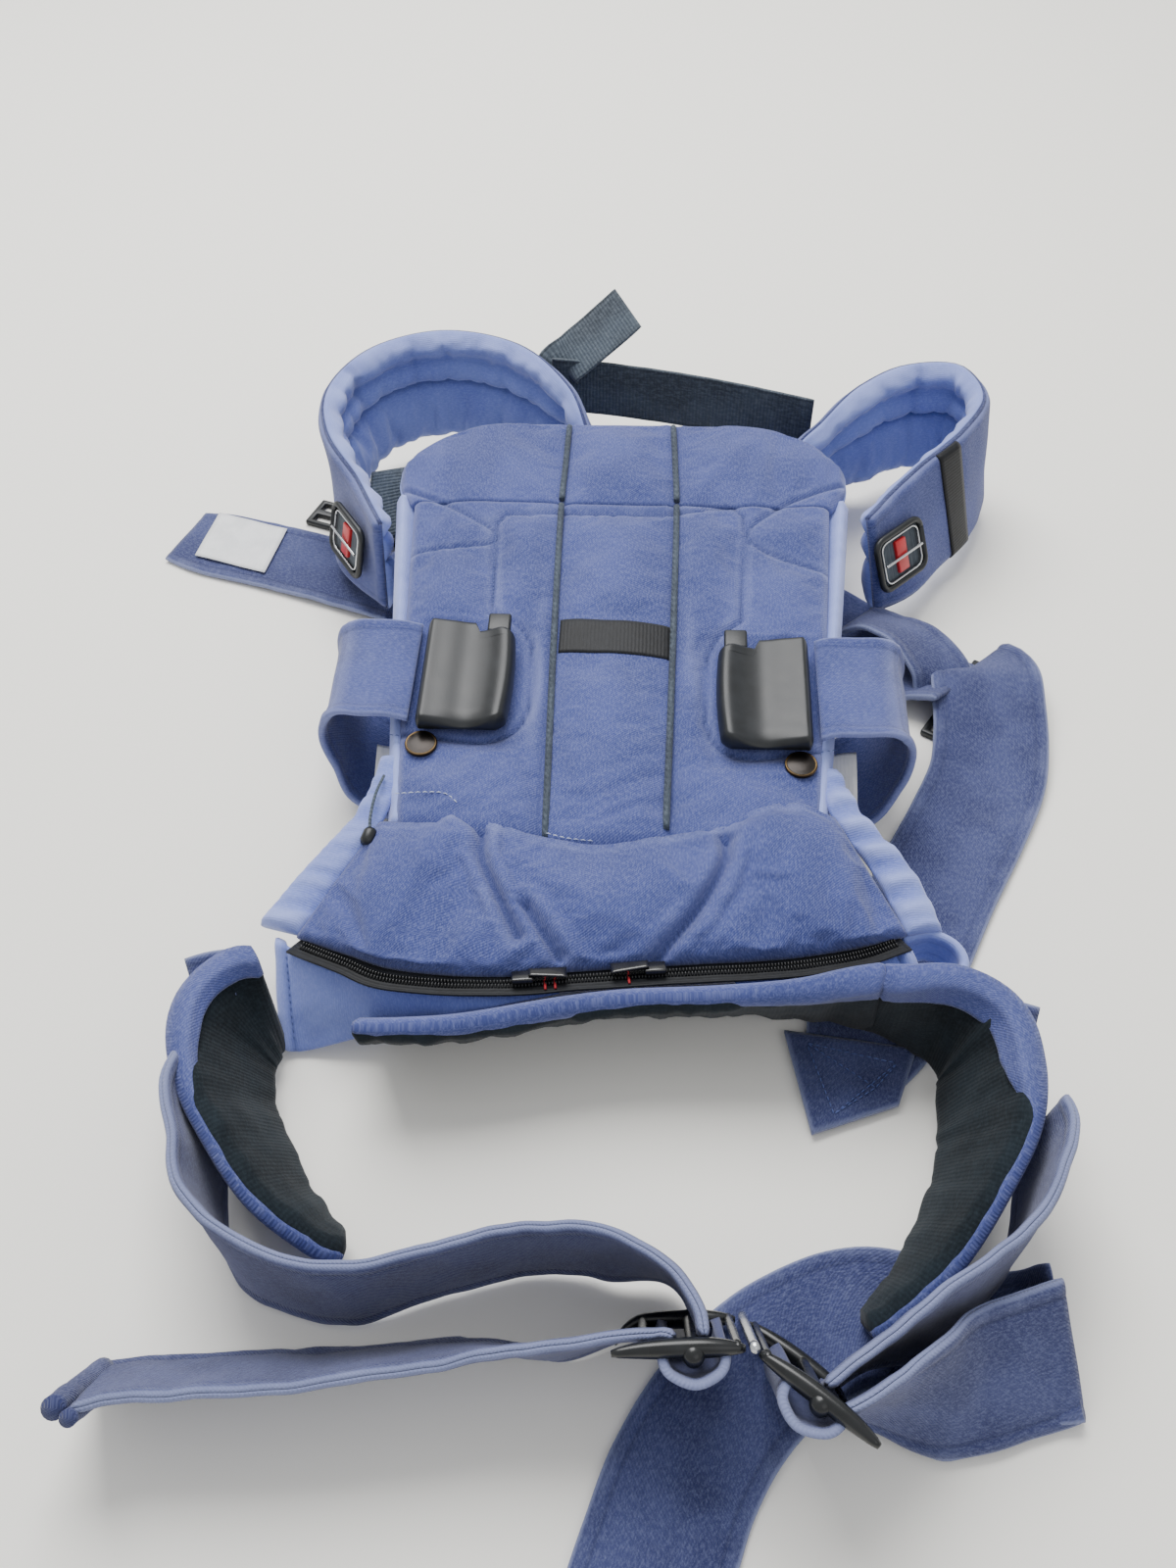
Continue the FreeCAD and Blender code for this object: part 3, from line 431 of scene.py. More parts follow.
def stitchRow(name, points, normals, material, gauge=3.4, stitch=2.5, thread=0.32, lift=0.1):
    # short threads laid end to end along a line of points, each one fullest in its middle
    points = np.asarray(points)
    normals = np.broadcast_to(normals, points.shape)
    reach = distanceAlong(points)
    verts, faces = [], []
    for start in np.arange(0.5, reach[-1] - stitch, gauge):
        stops = [start, start + stitch / 2, start + stitch]
        centre = between(stops, reach, points)
        normal = unit(between(stops, reach, normals)[1])
        side = np.cross(normal, unit(centre[2] - centre[0]))
        faces += ringFaces(3, 6, len(verts))
        for middle, rise, girth in zip(centre, (-0.15, 0.25, -0.15), (0.5, 1.0, 0.5)):
            for turn in range(6):
                angle = math.tau * turn / 6
                offset = side * math.cos(angle) + normal * math.sin(angle)
                verts.append(middle + normal * (lift + rise) + offset * thread * girth)
    return finishMesh(name, verts, faces, material)


def tubeAlong(name, points, radius, material, sides=10, tall=1.0):
    # a round or oval cord along a smooth line, its ends closed
    points = np.asarray(points, float)
    run = unit(np.gradient(points, axis=0))
    side = unit(np.cross(run, [0.0, 0.0, 1.0]))
    lift = np.cross(side, run)
    radius = np.broadcast_to(np.asarray(radius, float), len(points))[:, None]
    angle = math.tau * np.arange(sides) / sides
    offset = side[:, None] * np.cos(angle)[:, None] + lift[:, None] * np.sin(angle)[:, None] * tall
    verts = points[:, None] + offset * radius[..., None]
    lay = np.stack(np.broadcast_arrays(angle * radius, distanceAlong(points)[:, None]), -1)
    return finishMesh(name, verts.reshape(-1, 3), ringFaces(len(points), sides), material, lay.reshape(-1, 2))


def settle(piece, body, slot, *nodes):
    # a piece is attached to its body when it has one, and the parts it stands for are hidden
    if body:
        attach(piece, body)
    if nodes:
        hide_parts(*nodes)
    return piece


def hardPart(name, node, material, bevel, body, slot):
    # a hard part as it was built, with its edges rounded the way its mould rounds them
    mesh = frame["nodes"][node].data.copy()
    mesh.name = name
    work = bmesh.new()
    work.from_mesh(mesh)
    bmesh.ops.remove_doubles(work, verts=work.verts, dist=1e-6)
    bmesh.ops.dissolve_limit(work, angle_limit=math.radians(4), verts=work.verts, edges=work.edges)
    sharp = [edge for edge in work.edges if len(edge.link_faces) == 2
             and edge.calc_face_angle(0) > math.radians(30)]
    bmesh.ops.bevel(work, geom=sharp, offset=bevel * mm, segments=3, profile=0.5, affect="EDGES",
                    clamp_overlap=True)
    bmesh.ops.recalc_face_normals(work, faces=work.faces)
    work.to_mesh(mesh)
    work.free()
    mesh.materials.clear()
    mesh.materials.append(material)
    mesh.polygons.foreach_set("use_smooth", [True] * len(mesh.polygons))
    if mesh.attributes.get("custom_normal"):
        mesh.attributes.remove(mesh.attributes["custom_normal"])
    mesh.set_sharp_from_angle(angle=math.radians(40))
    piece = bpy.data.objects.new(name, mesh)
    scene.collection.objects.link(piece)
    return settle(piece, body, slot, node)


def swell(piece, held, pressure, growth, cap, frames=12):
    # let a sewn piece's upper face fill out: Cloth with pressure and no gravity, held where it is sewn down
    held = np.concatenate([np.clip(held, 0, 1).ravel(), np.ones(held.size)])
    start = np.array([vertex.co for vertex in piece.data.vertices])
    group = piece.vertex_groups.new(name="sewn")
    for spot in np.flatnonzero(held > 0.01):
        group.add([int(spot)], float(held[spot]), "REPLACE")
    cloth = piece.modifiers.new("swell", "CLOTH")
    settings = {"quality": 6, "mass": 0.1, "tension_stiffness": 12, "compression_stiffness": 12,
                "shear_stiffness": 4, "bending_stiffness": 0.12, "vertex_group_mass": "sewn",
                "use_pressure": True, "uniform_pressure_force": pressure, "shrink_min": -growth}
    for key, value in settings.items():
        setattr(cloth.settings, key, value)
    cloth.settings.effector_weights.gravity = 0
    cloth.point_cache.frame_start = 1
    cloth.point_cache.frame_end = frames
    for number in range(1, frames + 1):
        scene.frame_set(number)
    view = bpy.context.evaluated_depsgraph_get()
    moved = piece.evaluated_get(view).to_mesh()
    end = np.array([vertex.co for vertex in moved.vertices])
    piece.evaluated_get(view).to_mesh_clear()
    piece.modifiers.remove(cloth)
    scene.frame_set(1)
    step = end - start
    length = np.linalg.norm(step, axis=1)[:, None]
    step *= np.minimum(1.0, cap * mm / np.maximum(length, 1e-9))
    piece.data.vertices.foreach_set("co", (start + step).astype(np.float32).ravel())
    piece.vertex_groups.remove(group)
    piece.data.update()


# front panel and head support: quilted denim over a lining

panel = {
    "face": 4.0,                    # how far its faces stand off its middle sheet
    "foot": -66.0, "footRise": 12.0, "top": 181.6,
    "halves": (104, 113, 119.5),    # half widths low, in the middle and at the fold
}
headRest = {"low": 182.3, "top": 257.5, "cornerDrop": 42.0, "half": 121.0, "flare": 9.0}
lining = {"low": -50.0, "foldedAt": 181.0, "top": 193.0, "halves": (110, 121.5, 130.5)}
piping = {
    "radius": 1.75, "lines": (-33.0, 31.0),
    "tracks": {"Left": [(-29, -58), (-31, 20), (-32.5, 84), (-34, 175), (-33.5, 215), (-33, 252)],
               "Right": [(28.5, -52), (30, 20), (31, 84), (32, 175), (31, 215), (29.5, 254)]},
}
quilting = {
    "puff": 3.2,                    # how far the wadding lifts the cloth between seams
    "puffReach": 12.0,
    "seamWidth": 1.8,
    "seamDepth": 1.9,
    "innerPanel": [(-64, 88), (-67, 100), (-70, 146), (-70.5, 164), (-66, 173), (-34, 175), (32, 176),
                   (50, 179.5), (64, 182), (70.5, 175), (71, 160), (67, 90)],
    "goreLeft": [(-126, 194), (-96, 178), (-74, 162), (-70, 156), (-73, 149), (-100, 143), (-122, 138)],
    "goreRight": [(128, 203), (98, 188), (78, 171), (72, 160), (77, 150), (88, 141), (122, 126)],
    "padLeft": [(-67, 92), (-54, 86), (-45, 72), (-42, 50), (-43, 24), (-50, 8), (-66, 1), (-92, 4),
                (-114, 6)],
    "padRight": [(67, 90), (56, 80), (49, 64), (47, 42), (48, 16), (55, 0), (70, -6), (98, -1), (114, 2)],
}
seamLines = {name: quilting[name] for name in ("goreLeft", "goreRight", "padLeft", "padRight")}
seamLines = {name: smoothLine(line, 5) for name, line in seamLines.items()}
seamLines["innerPanel"] = np.array(quilting["innerPanel"], float)
buckles = {
    "left": {"x": -75.0, "y": 39.5, "turn": -1, "strapTop": 41, "strapReach": 149, "strapStart": 102.0,
             "tagX": -108},
    "right": {"x": 77.5, "y": 30.5, "turn": 1, "strapTop": 33, "strapReach": 152, "strapStart": 104.5,
              "tagX": 112},
    "width": 46.0, "length": 73.0, "rise": 5.6, "strapHalf": 35.5,
}


def nearestOf(x, y, lines):
    return np.minimum.reduce([fromLine(x, y, line) for line in lines])


def seamDistance(x, y):
    return nearestOf(x, y, seamLines.values())


def underBuckle(x, y):
    share = np.zeros(np.shape(x))
    for side in ("left", "right"):
        away = np.maximum(np.abs(x - buckles[side]["x"]) / 27, np.abs(y - buckles[side]["y"]) / 42)
        share = np.maximum(share, np.clip((1.12 - away) / 0.2, 0, 1))
    return share


def frontRise(x, y, edge):
    # height of the quilted cloth over the flat panel, and how deep each place lies in a seam
    seam = seamDistance(x, y)
    pipe = np.minimum(*(np.abs(x - line) for line in piping["lines"]))
    near = np.minimum(np.minimum(seam, edge), pipe * 1.2)
    rise = quilting["puff"] * (1 - np.exp(-near / quilting["puffReach"]))
    rise = rise + 0.9 * ripple(x, y, 34, 52, 3.1) + 0.45 * ripple(x, y, 13, 30, 8.7)
    low = np.clip((20 - y) / 60, 0, 1)
    rise = rise + low * 1.6 * ripple(x + 0.9 * y, y - 0.5 * x, 60, 15, 5.2)
    rise = rise * (1 - 0.9 * underBuckle(x, y))
    rise = rise - quilting["seamDepth"] * groove(seam, quilting["seamWidth"]) - 0.8 * groove(pipe, 2.4)
    return rise, seam, pipe


def frontGrid(x, y, edge, end):
    normal = np.broadcast_to(outOfFront, (*x.shape, 3))
    return {"mid": onFront(x, y, -panel["face"]), "normal": normal, "across": x, "along": y, "edge": edge,
            "end": end}


def halfWidth(y, halves):
    # half widths at the low, middle and top marks, joined by a smooth curve
    return np.polyval(np.polyfit((-18.0, 90.0, 181.8), halves, 2), y)


def makeFrontPanel():
    share, climb = np.meshgrid(edgeSpread(108), np.linspace(0, 1, 118))
    foot = panel["foot"] + panel["footRise"] * share ** 2
    y = foot + (panel["top"] - foot) * climb
    half = halfWidth(-40 + (panel["top"] + 40) * climb, panel["halves"])
    x = share * half
    edge = half * (1 - np.abs(share))
    end = panel["top"] - y
    rise, seam, pipe = frontRise(x, y, edge)
    rim = rounded(edge, 5.0) * rounded(end + 0.7, 0.9)
    # the foot dips under the seat's roll
    dip = 6.0 * np.clip((foot + 14 - y) / 14, 0, 1) ** 2
    wearAndHighlight = 0.45 * groove(edge, 3) + 0.35 * groove(seam - 3, 2.2)
    wearAndHighlight = wearAndHighlight + 0.35 * np.clip(ripple(x, y, 9, 70, 2.0), 0, 1)
    wearAndHighlight = wearAndHighlight + 0.3 * groove(np.abs(np.abs(x) - 39), 5) * np.clip(ripple(x, y, 30, 40, 6.0) + 0.5, 0, 1)
    # painted shade along the quilting seams and beside the piping
    paintedShade = 0.75 * groove(seam, 1.3) + 0.5 * groove(pipe, 2.6)
    piece = sewnPiece("frontPanel", frontGrid(x, y, edge, end), (panel["face"] + rise) * rim - dip,
                      -panel["face"] * rim - dip * 0.5 - 0.3, denimTwill, wearAndHighlight, paintedShade)
    label = (np.abs(x) < 34) & (y > 56) & (y < 92)
    held = groove(seam, 2.0) + groove(pipe, 3.0) + underBuckle(x, y) + (edge < 3) + (end < 3)
    swell(piece, held + (climb < 0.06) + label, 1.2, 0.02, 3.0)
    settle(piece, "carrier", "denim", "chest_panel")


def makeHeadSupport():
    low, face = headRest["low"], panel["face"]
    share, climb = np.meshgrid(edgeSpread(108), np.linspace(0, 1, 44) ** 0.9)
    top = headRest["top"] - headRest["cornerDrop"] * np.abs(share) ** 5.5
    y = low + (top - low) * climb
    half = headRest["half"] + headRest["flare"] * np.sin(np.pi / 2 * np.clip(climb * 1.5, 0, 1))
    x = share * half
    edge = half * (1 - np.abs(share))
    end = np.minimum(y - low, top - y + 0.2)
    around = np.minimum(edge, top - y)
    rise, seam, pipe = frontRise(x, y, around)
    rim = rounded(edge, 4.5) * rounded(top - y + 0.15, 5.0) * rounded(y - low + 0.7, 0.9)
    wearAndHighlight = 0.5 * groove(around, 3) + 0.3 * groove(seam - 3, 2)
    wearAndHighlight = wearAndHighlight + 0.3 * np.clip(ripple(x, y, 10, 50, 4.0), 0, 1)
    # painted shade along the quilting seams and beside the piping
    paintedShade = 0.75 * groove(seam, 1.3) + 0.5 * groove(pipe, 2.6)
    piece = sewnPiece("headSupport", frontGrid(x, y, edge, end), (face + rise) * rim, -face * rim - 0.3,
                      denimTwill, wearAndHighlight, paintedShade)
    swell(piece, groove(seam, 2.0) + groove(pipe, 3.0) + (edge < 3) + (end < 3), 1.2, 0.02, 3.0)
    settle(piece, "head_support", "denim", "head_support")

    # its lining shows as a thin pale edge round the top
    under = frontGrid(x * 1.006, low + (y - low) * 1.012, edge, end)
    under["mid"] = under["mid"] - outOfFront * 6.2
    puff = 2.5 * (1 - np.exp(-around / 10)) + 0.8 * ripple(x, y, 22, 26, 9.0)
    curl = 4.2 * groove(np.minimum(edge, top - y + 0.3), 2.4)
    lining = sewnPiece("headLining", under, 1.4 * rim + curl, (-2.6 - puff) * rim - 0.3 + curl * 0.6,
                       brushedCotton, 0.7 * groove(around, 4))
    settle(lining, "head_support", "lining_cotton", "head_support_lining")


def makeChestLining():
    low, top = lining["low"], lining["top"]
    share, climb = np.meshgrid(edgeSpread(70), np.linspace(0, 1, 96))
    y = low + (top - low) * climb
    # only its two edges reach past the fold
    y = np.where(np.abs(share) < 0.9, np.minimum(y, lining["foldedAt"]), y)
    half = halfWidth(y, lining["halves"])
    x = share * half
    edge = half * (1 - np.abs(share))
    end = np.minimum(y - low, np.maximum(top - y, 0))
    roll = 7.2 * groove(edge - 4.5, 4.4) + 1.1 * groove(edge - 5, 6) * ripple(x, y, 30, 8, 1.5)
    back = 3.0 * (1 - np.exp(-edge / 12)) + 1.2 * ripple(x, y, 30, 30, 2.5)
    rim = rounded(edge + 0.4, 4.0) * rounded(end + 0.4, 4.0)
    grid = frontGrid(x, y, edge, end)
    grid["mid"] = grid["mid"] - outOfFront * 6.0
    # painted shade in thin lines across the rolled edges, every 62 mm
    paintedShade = 0.6 * groove(np.mod(y + 30, 62) - 31, 1.0) * groove(edge - 6, 8)
    piece = sewnPiece("chestLining", grid, (1.6 + roll) * rim, (-2.4 - back) * rim, brushedCotton,
                      0.8 * groove(edge - 4, 4) + 0.2, paintedShade)
    settle(piece, "carrier", "lining_cotton", "chest_lining")


def makePiping():
    for label, body, node, low, high in (("chestPiping", "carrier", "chest_piping", -60, 180.5),
                                         ("headPiping", "head_support", "head_piping", 183.5, 258)):
        parts = []
        for side, track in piping["tracks"].items():
            line = smoothLine(track, 24)
            x, y = line[(line[:, 1] > low) & (line[:, 1] < high)].T
            dive = 2.4 * np.clip((y - 247) / 8, 0, 1) ** 2 + 3.5 * np.clip((-46 - y) / 12, 0, 1)
            rise = quilting["puff"] * 0.35 + 0.5 + 0.3 * ripple(x, y, 30, 30, 3.0)
            parts.append(tubeAlong(label + side, onFront(x, y, rise - dive), piping["radius"], braidedPiping))
        settle(joined(label, parts), body, "black_cord", node)


def joined(name, parts):
    # several meshes of one material made into one piece
    work = bmesh.new()
    for part in parts:
        work.from_mesh(part.data)
    mesh = parts[0].data.copy()
    work.to_mesh(mesh)
    work.free()
    for part in parts:
        bpy.data.objects.remove(part)
    piece = bpy.data.objects.new(name, mesh)
    mesh.name = name
    scene.collection.objects.link(piece)
    return piece


def makeFrontLabel():
    label = {"half": 29.5, "low": 61.5, "high": 85.5, "skew": -0.06, "thick": 0.7}
    across, along = np.meshgrid(edgeSpread(26) * label["half"], np.linspace(label["low"], label["high"], 14))
    y = along + label["skew"] * across
    face = panel["face"] + frontRise(across, y, np.full(across.shape, 40.0))[0]
    edge = np.minimum(label["half"] - np.abs(across), np.minimum(along - label["low"], label["high"] - along))
    piece = sewnPiece("frontLabel", frontGrid(across, y, edge, edge),
                      face + 0.25 + label["thick"] * rounded(edge + 0.1, 0.8), face - 0.3, satinLabel,
                      0.6 * groove(edge, 0.9))
    settle(piece, "carrier", "black_label", "front_label")


def makeTopStitching():
    # pale rows where the seat is sewn to the panel, blue ones along the quilting
    pale = {"seatStitchingLeft": (4.2, [(-104, -37), (-90, -35.5), (-79, -36), (-72, -42)]),
            "seatStitchingMiddle": (1.5, [(-29, -56.5), (-18, -59.5), (-3, -61)])}
    for name, (lift, track) in pale.items():
        points = onFront(*smoothLine(track, 12).T, lift)
        settle(stitchRow(name, points, outOfFront, paleThread), "carrier", "denim")
    blue = {"padStitchingLeft": "padLeft", "padStitchingRight": "padRight", "goreStitchingLeft": "goreLeft",
            "goreStitchingRight": "goreRight", "innerStitching": "innerPanel"}
    for name, seamName in blue.items():
        line = seamLines[seamName]
        x, y = line[(line[:, 1] < 181) & (np.abs(line[:, 0]) < 117)].T
        points = onFront(x, y, frontRise(x, y, np.full(len(x), 30.0))[0] + 0.35)
        settle(stitchRow(name, points, outOfFront, blueThread, gauge=3.0, stitch=2.0, thread=0.22), "carrier",
               "denim")


def lathe(name, profile, centre, axis, material, sides=40):
    # turned about an axis: the profile is (radius, height) pairs from the middle outwards
    axis = unit(np.asarray(axis, float))
    side = unit(np.cross(axis, [0.0, 1.0, 0.3]))
    third = np.cross(axis, side)
    verts = []
    for radius, height in profile:
        for turn in range(sides):
            angle = math.tau * turn / sides
            verts.append(centre + axis * height + (side * math.cos(angle) + third * math.sin(angle)) * radius)
    return finishMesh(name, verts, ringFaces(len(profile), sides), material)


def makeSnaps():
    snap = {"places": ((-94.5, -3), (94.5, -11.5)), "radius": 8.2, "rise": 3.0}
    radius, rise = snap["radius"], snap["rise"]
    dome = [(0.2, rise + 0.5), (3.0, rise + 0.45), (5.6, rise + 0.1), (6.9, rise - 0.25), (7.5, rise - 0.3),
            (7.9, rise - 0.8), (radius - 0.1, rise - 1.6), (radius - 0.3, rise - 2.3), (6.9, 0.1), (0.2, 0.1)]
    ring = [(7.15, rise - 0.25), (7.5, rise), (7.95, rise - 0.25), (8.25, rise - 1.0), (8.0, rise - 1.2),
            (7.1, rise - 0.9)]
    for name, profile, material, nodes in (("snapCaps", dome, blackenedBrass, ["snap_caps"]),
                                           ("snapRims", ring, rubbedBrass, [])):
        parts = [lathe(name + "Part", profile, onFront(x, y, 0.6), outOfFront, material)
                 for x, y in snap["places"]]
        settle(joined(name, parts), "carrier", "bronze_metal", *nodes)
    hardPart("snapStuds", "snap_studs", drawnSteel, 0.5, "carrier", "steel")


def makeFoldStrip():
    # the linings are one cloth at the fold: this strip lies across it
    share, climb = np.meshgrid(edgeSpread(60), np.linspace(0, 1, 25))
    y = front["fold"] + 17 * (climb - 0.5)
    half = halfWidth(y, lining["halves"]) - 5
    edge = half * (1 - np.abs(share))
    thin = 1.5 * rounded(edge + 0.3, 2.0) * rounded(8.7 - np.abs(y - front["fold"]), 2.0)
    piece = sewnPiece("foldStrip", frontGrid(share * half, y, edge, edge), thin - 6.4, -thin - 6.4,
                      brushedCotton)
    still, moving = (onFront(0, front["fold"] + away, -10) * mm for away in (-5.5, 5.5))
    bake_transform(piece)


makeFrontPanel()
makeHeadSupport()
makeFoldStrip()
makeChestLining()
makePiping()
makeFrontLabel()
makeTopStitching()
makeSnaps()
print("stage: front panel made")


# seat, gathered side strips, leg flaps and zip

seat = {
    "top": [(-110, -49), (-84, -49), (-69, -43), (-50, -50), (-29, -56.5), (-1, -60), (26, -54), (56, -47),
            (68, -38), (91, -33.5), (110, -40)],
    "low": [(-143, -107, 39), (-118, -118, 43), (-93, -127, 45), (-49, -131, 47), (-6, -126.5, 47.5),
            (40, -121.5, 47.5), (83, -116.5, 46.5), (115, -108, 44), (141, -98, 41)],
    "creases": [[(-70, -46), (-60, -56), (-57, -74), (-47, -96), (-38, -114)],
                [(-35, -99), (-28, -110), (-19, -123)],
                [(57, -58), (55, -74), (44, -97), (25, -122)]],
    "softFolds": [[(-62, -52), (-30, -64), (-6, -70)], [(66, -44), (50, -58), (30, -64)],
                  [(-100, -60), (-84, -66), (-74, -80)], [(92, -44), (82, -60), (80, -80)]],
    "puff": 8.0,
}


def spread(points, count):
    return evened(smoothLine(points, 16), count)[1]


def spannedGrid(near, far, count, rows, bulge=0.0):
    # a sheet between two lines of places on the table, its normal worked out from its shape
    near, far = spread(near, count), spread(far, count)
    climb = np.linspace(0, 1, rows)[:, None, None]
    mid = near[None] * (1 - climb) + far[None] * climb
    down = np.gradient(mid, axis=0)
    over = np.gradient(mid, axis=1)
    normal = np.cross(over, down)
    normal /= np.linalg.norm(normal, axis=2)[..., None]
    if normal[..., 2].mean() < 0:
        normal = -normal
    mid = mid + normal * (bulge * np.sin(np.pi * climb[..., 0]))[..., None]
    steps = np.linalg.norm(down, axis=2).cumsum(0) - np.linalg.norm(down, axis=2)[:1]
    widths = np.linalg.norm(over, axis=2).cumsum(1)
    widths = widths - widths[:, :1]
    edge = np.minimum(widths, widths[:, -1:] - widths)
    end = np.minimum(steps, steps[-1:] - steps)
    return {"mid": onTable(mid), "normal": normal, "across": widths, "along": -steps, "edge": edge,
            "end": end, "down": steps, "length": steps[-1:]}


def makeSeat():
    near = [tuple(onFront(x, y, -3.0) - [zeroPoint[0], zeroPoint[1], 0]) for x, y in seat["top"]]
    grid = spannedGrid(near, seat["low"], 128, 60)
    x = grid["mid"][..., 0] - zeroPoint[0]
    y = grid["mid"][..., 1] - zeroPoint[1]
    down, edge = grid["down"], grid["edge"]
    left = grid["length"] - down
    folds = nearestOf(x, y, [smoothLine(line, 6) for line in seat["creases"]])
    soft = nearestOf(x, y, [smoothLine(line, 6) for line in seat["softFolds"]])
    puff = seat["puff"] * (1 - np.exp(-down / 7)) * (1 - np.exp(-left / 9)) * (1 - np.exp(-edge / 10))
    puff = puff * (1 - 0.25 * groove(soft, 8))
    rise = puff + 1.3 * ripple(x, y, 34, 30, 5.5) + 0.6 * ripple(x, y, 14, 12, 1.7)
    rise = rise - 4.6 * groove(folds, 2.6) - 1.6 * groove(folds, 9) + 1.2 * groove(folds - 7, 4)
    rise = rise + ripple(x, y * 0.2, 7.5, 14, 4.4) * (1.1 * groove(left, 9) + 0.8 * groove(down, 7))
    rim = rounded(down + 0.3, 5.0) * rounded(left + 0.3, 3.5) * rounded(edge + 0.3, 4.0)
    # painted shade in the creases and soft folds and along the sewn top edge
    paintedShade = 0.75 * groove(folds, 1.8) + 0.5 * groove(down, 1.6) + 0.25 * groove(soft, 3)
    wearAndHighlight = 0.25 * groove(folds - 6, 3) + 0.35 * groove(down - 6, 3)
    wearAndHighlight = wearAndHighlight + 0.25 * np.clip(ripple(x, y, 12, 12, 7.0), 0, 1)
    piece = sewnPiece("seatPad", grid, (3.0 + rise) * rim, -6.0 * rim - 0.3, denimTwill, wearAndHighlight, paintedShade)
    swell(piece, groove(folds, 2.5) + (down < 2.5) + (left < 2.5) + (edge < 3), 2.0, 0.035, 4.0)
    settle(piece, "carrier", "denim", "seat_panel")


def makeSideGussets():
    # gathered strips of lining from the panel's edge down to the zip's ends
    strips = {
        "left": (3.3, [(-104, -6, 57), (-109.5, -46, 55.5), (-126, -78, 48), (-142, -106, 40)],
                 [(-115, -4, 51), (-124, -42, 49), (-146, -72, 42), (-163, -96, 33)]),
        "right": (6.1, [(104, -8, 57), (109.5, -38, 56), (127, -66, 49), (141, -98, 42)],
                  [(114, -6, 52), (124, -34, 50), (147, -64, 44), (158, -93, 38)]),
    }
    for side, (seed, inner, outer) in strips.items():
        grid = spannedGrid(inner, outer, 84, 26)
        over, down = grid["across"], grid["down"]
        left = grid["length"] - down
        puff = 5.0 * (1 - np.exp(-down / 5)) * rounded(left + 0.4, 9.0)
        gathers = ripple(over, down * 0.35, 8.5, 30, seed)
        rise = puff + 3.2 * gathers * (0.5 + 0.5 * groove(down, 14)) + 0.7 * ripple(over, down, 3.6, 9, 2.2)
        rim = rounded(down + 0.4, 3.0) * rounded(left + 0.3, 4.0) * rounded(grid["edge"] + 0.4, 3.0)
        # lightly paled all over as wear, more on the gather crests as painted highlight; painted shade in the
        # gather valleys
        piece = sewnPiece(f"sideGusset{side.title()}", grid, (1.0 + rise) * rim, -3.0 * rim - 0.3,
                          brushedCotton, 0.35 + 0.9 * gathers, np.clip(-1.1 * gathers - 0.25, 0, 0.8))
        settle(piece, "carrier", "lining_cotton", f"side_gusset_{side}")


def makeLegFlaps():
    hem = {"width": 7.6, "curl": 2.4}
    flaps = {
        "left": ([(-153, -105, 36), (-138, -117, 38), (-118, -127, 40), (-95, -136.5, 42), (-49, -139.5, 43.5),
                  (-16, -135, 44.5)],
                 [(-149, -143, 3.5), (-144, -146, 3), (-134, -145, 4), (-108, -144, 15), (-60, -143, 35),
                  (-20, -137, 42)], (0.155, 0.03)),
        "right": ([(142, -104, 39), (115, -117, 41), (92, -124.5, 42), (60, -127, 44)],
                  [(150, -116, 25), (124, -121, 29), (95, -127, 36), (62, -128.5, 41)], (0.09, 0.016)),
    }
    for side, (top, low, flat) in flaps.items():
        grid = spannedGrid(top, low, 90, 30, 1.5)
        over, down = grid["across"], grid["down"]
        roll = hem["curl"] * groove(over - 3.4, 3.0) - 0.9 * groove(over - hem["width"], 1.1)
        slack = 1.6 * ripple(over, down, 34, 18, 4.8) + 0.5 * ripple(over + down, down, 9, 30, 2.9)
        rim = rounded(grid["edge"] + 0.5, 1.4) * rounded(grid["end"] + 0.5, 1.4)
        upper = (0.9 + roll) * rim + slack
        column = int(np.argmin(np.abs(over[0] - hem["width"])))
        track = (grid["mid"] + grid["normal"] * upper[..., None])[2:-2, column]
        row = stitchRow(f"flapStitching{side.title()}", track, grid["normal"][2:-2, column], blueThread,
                        thread=0.4)
        settle(row, "carrier", "denim")
        # paled along the rolled hem as wear; painted shade along the hem's stitch line
        piece = sewnPiece(f"legFlap{side.title()}", grid, upper, (-0.9 - roll) * rim + slack, brushedCotton,
                          0.6 * groove(over - 3, 3) + 0.2, 0.8 * groove(over - hem["width"], 1.2))
        settle(piece, "carrier", "lining_cotton", f"leg_gusset_{side}")


def makeLegHem():
    curl = [(140, -99, 30), (152, -95, 30), (163, -100, 29), (166, -110, 28), (158, -118, 28), (147, -115, 28),
            (138, -117, 28), (131, -126, 27)]
    grid = strapGrid([(x, y, z, 8) for x, y, z in curl], 19, 2.0, 15)
    edge = grid["edge"]
    thick = (1.3 + 0.8 * groove(edge - 2.6, 2.2)) * rounded(edge + 0.2, 1.2)
    # painted shade along the line 6 mm in from each edge
    piece = sewnPiece("legHemRight", grid, thick, -thick, brushedCotton, 0.7 * groove(edge, 3),
                      0.5 * groove(edge - 6, 0.8))
    settle(piece, "carrier", "lining_cotton")


zipRoute = [(-143, -110, 38), (-118, -123, 42), (-95, -133, 44), (-49, -136, 46), (-6, -131.5, 46.5),
           (40, -126.5, 46.5), (83, -121.5, 45.5), (115, -113, 43), (139, -101, 40)]


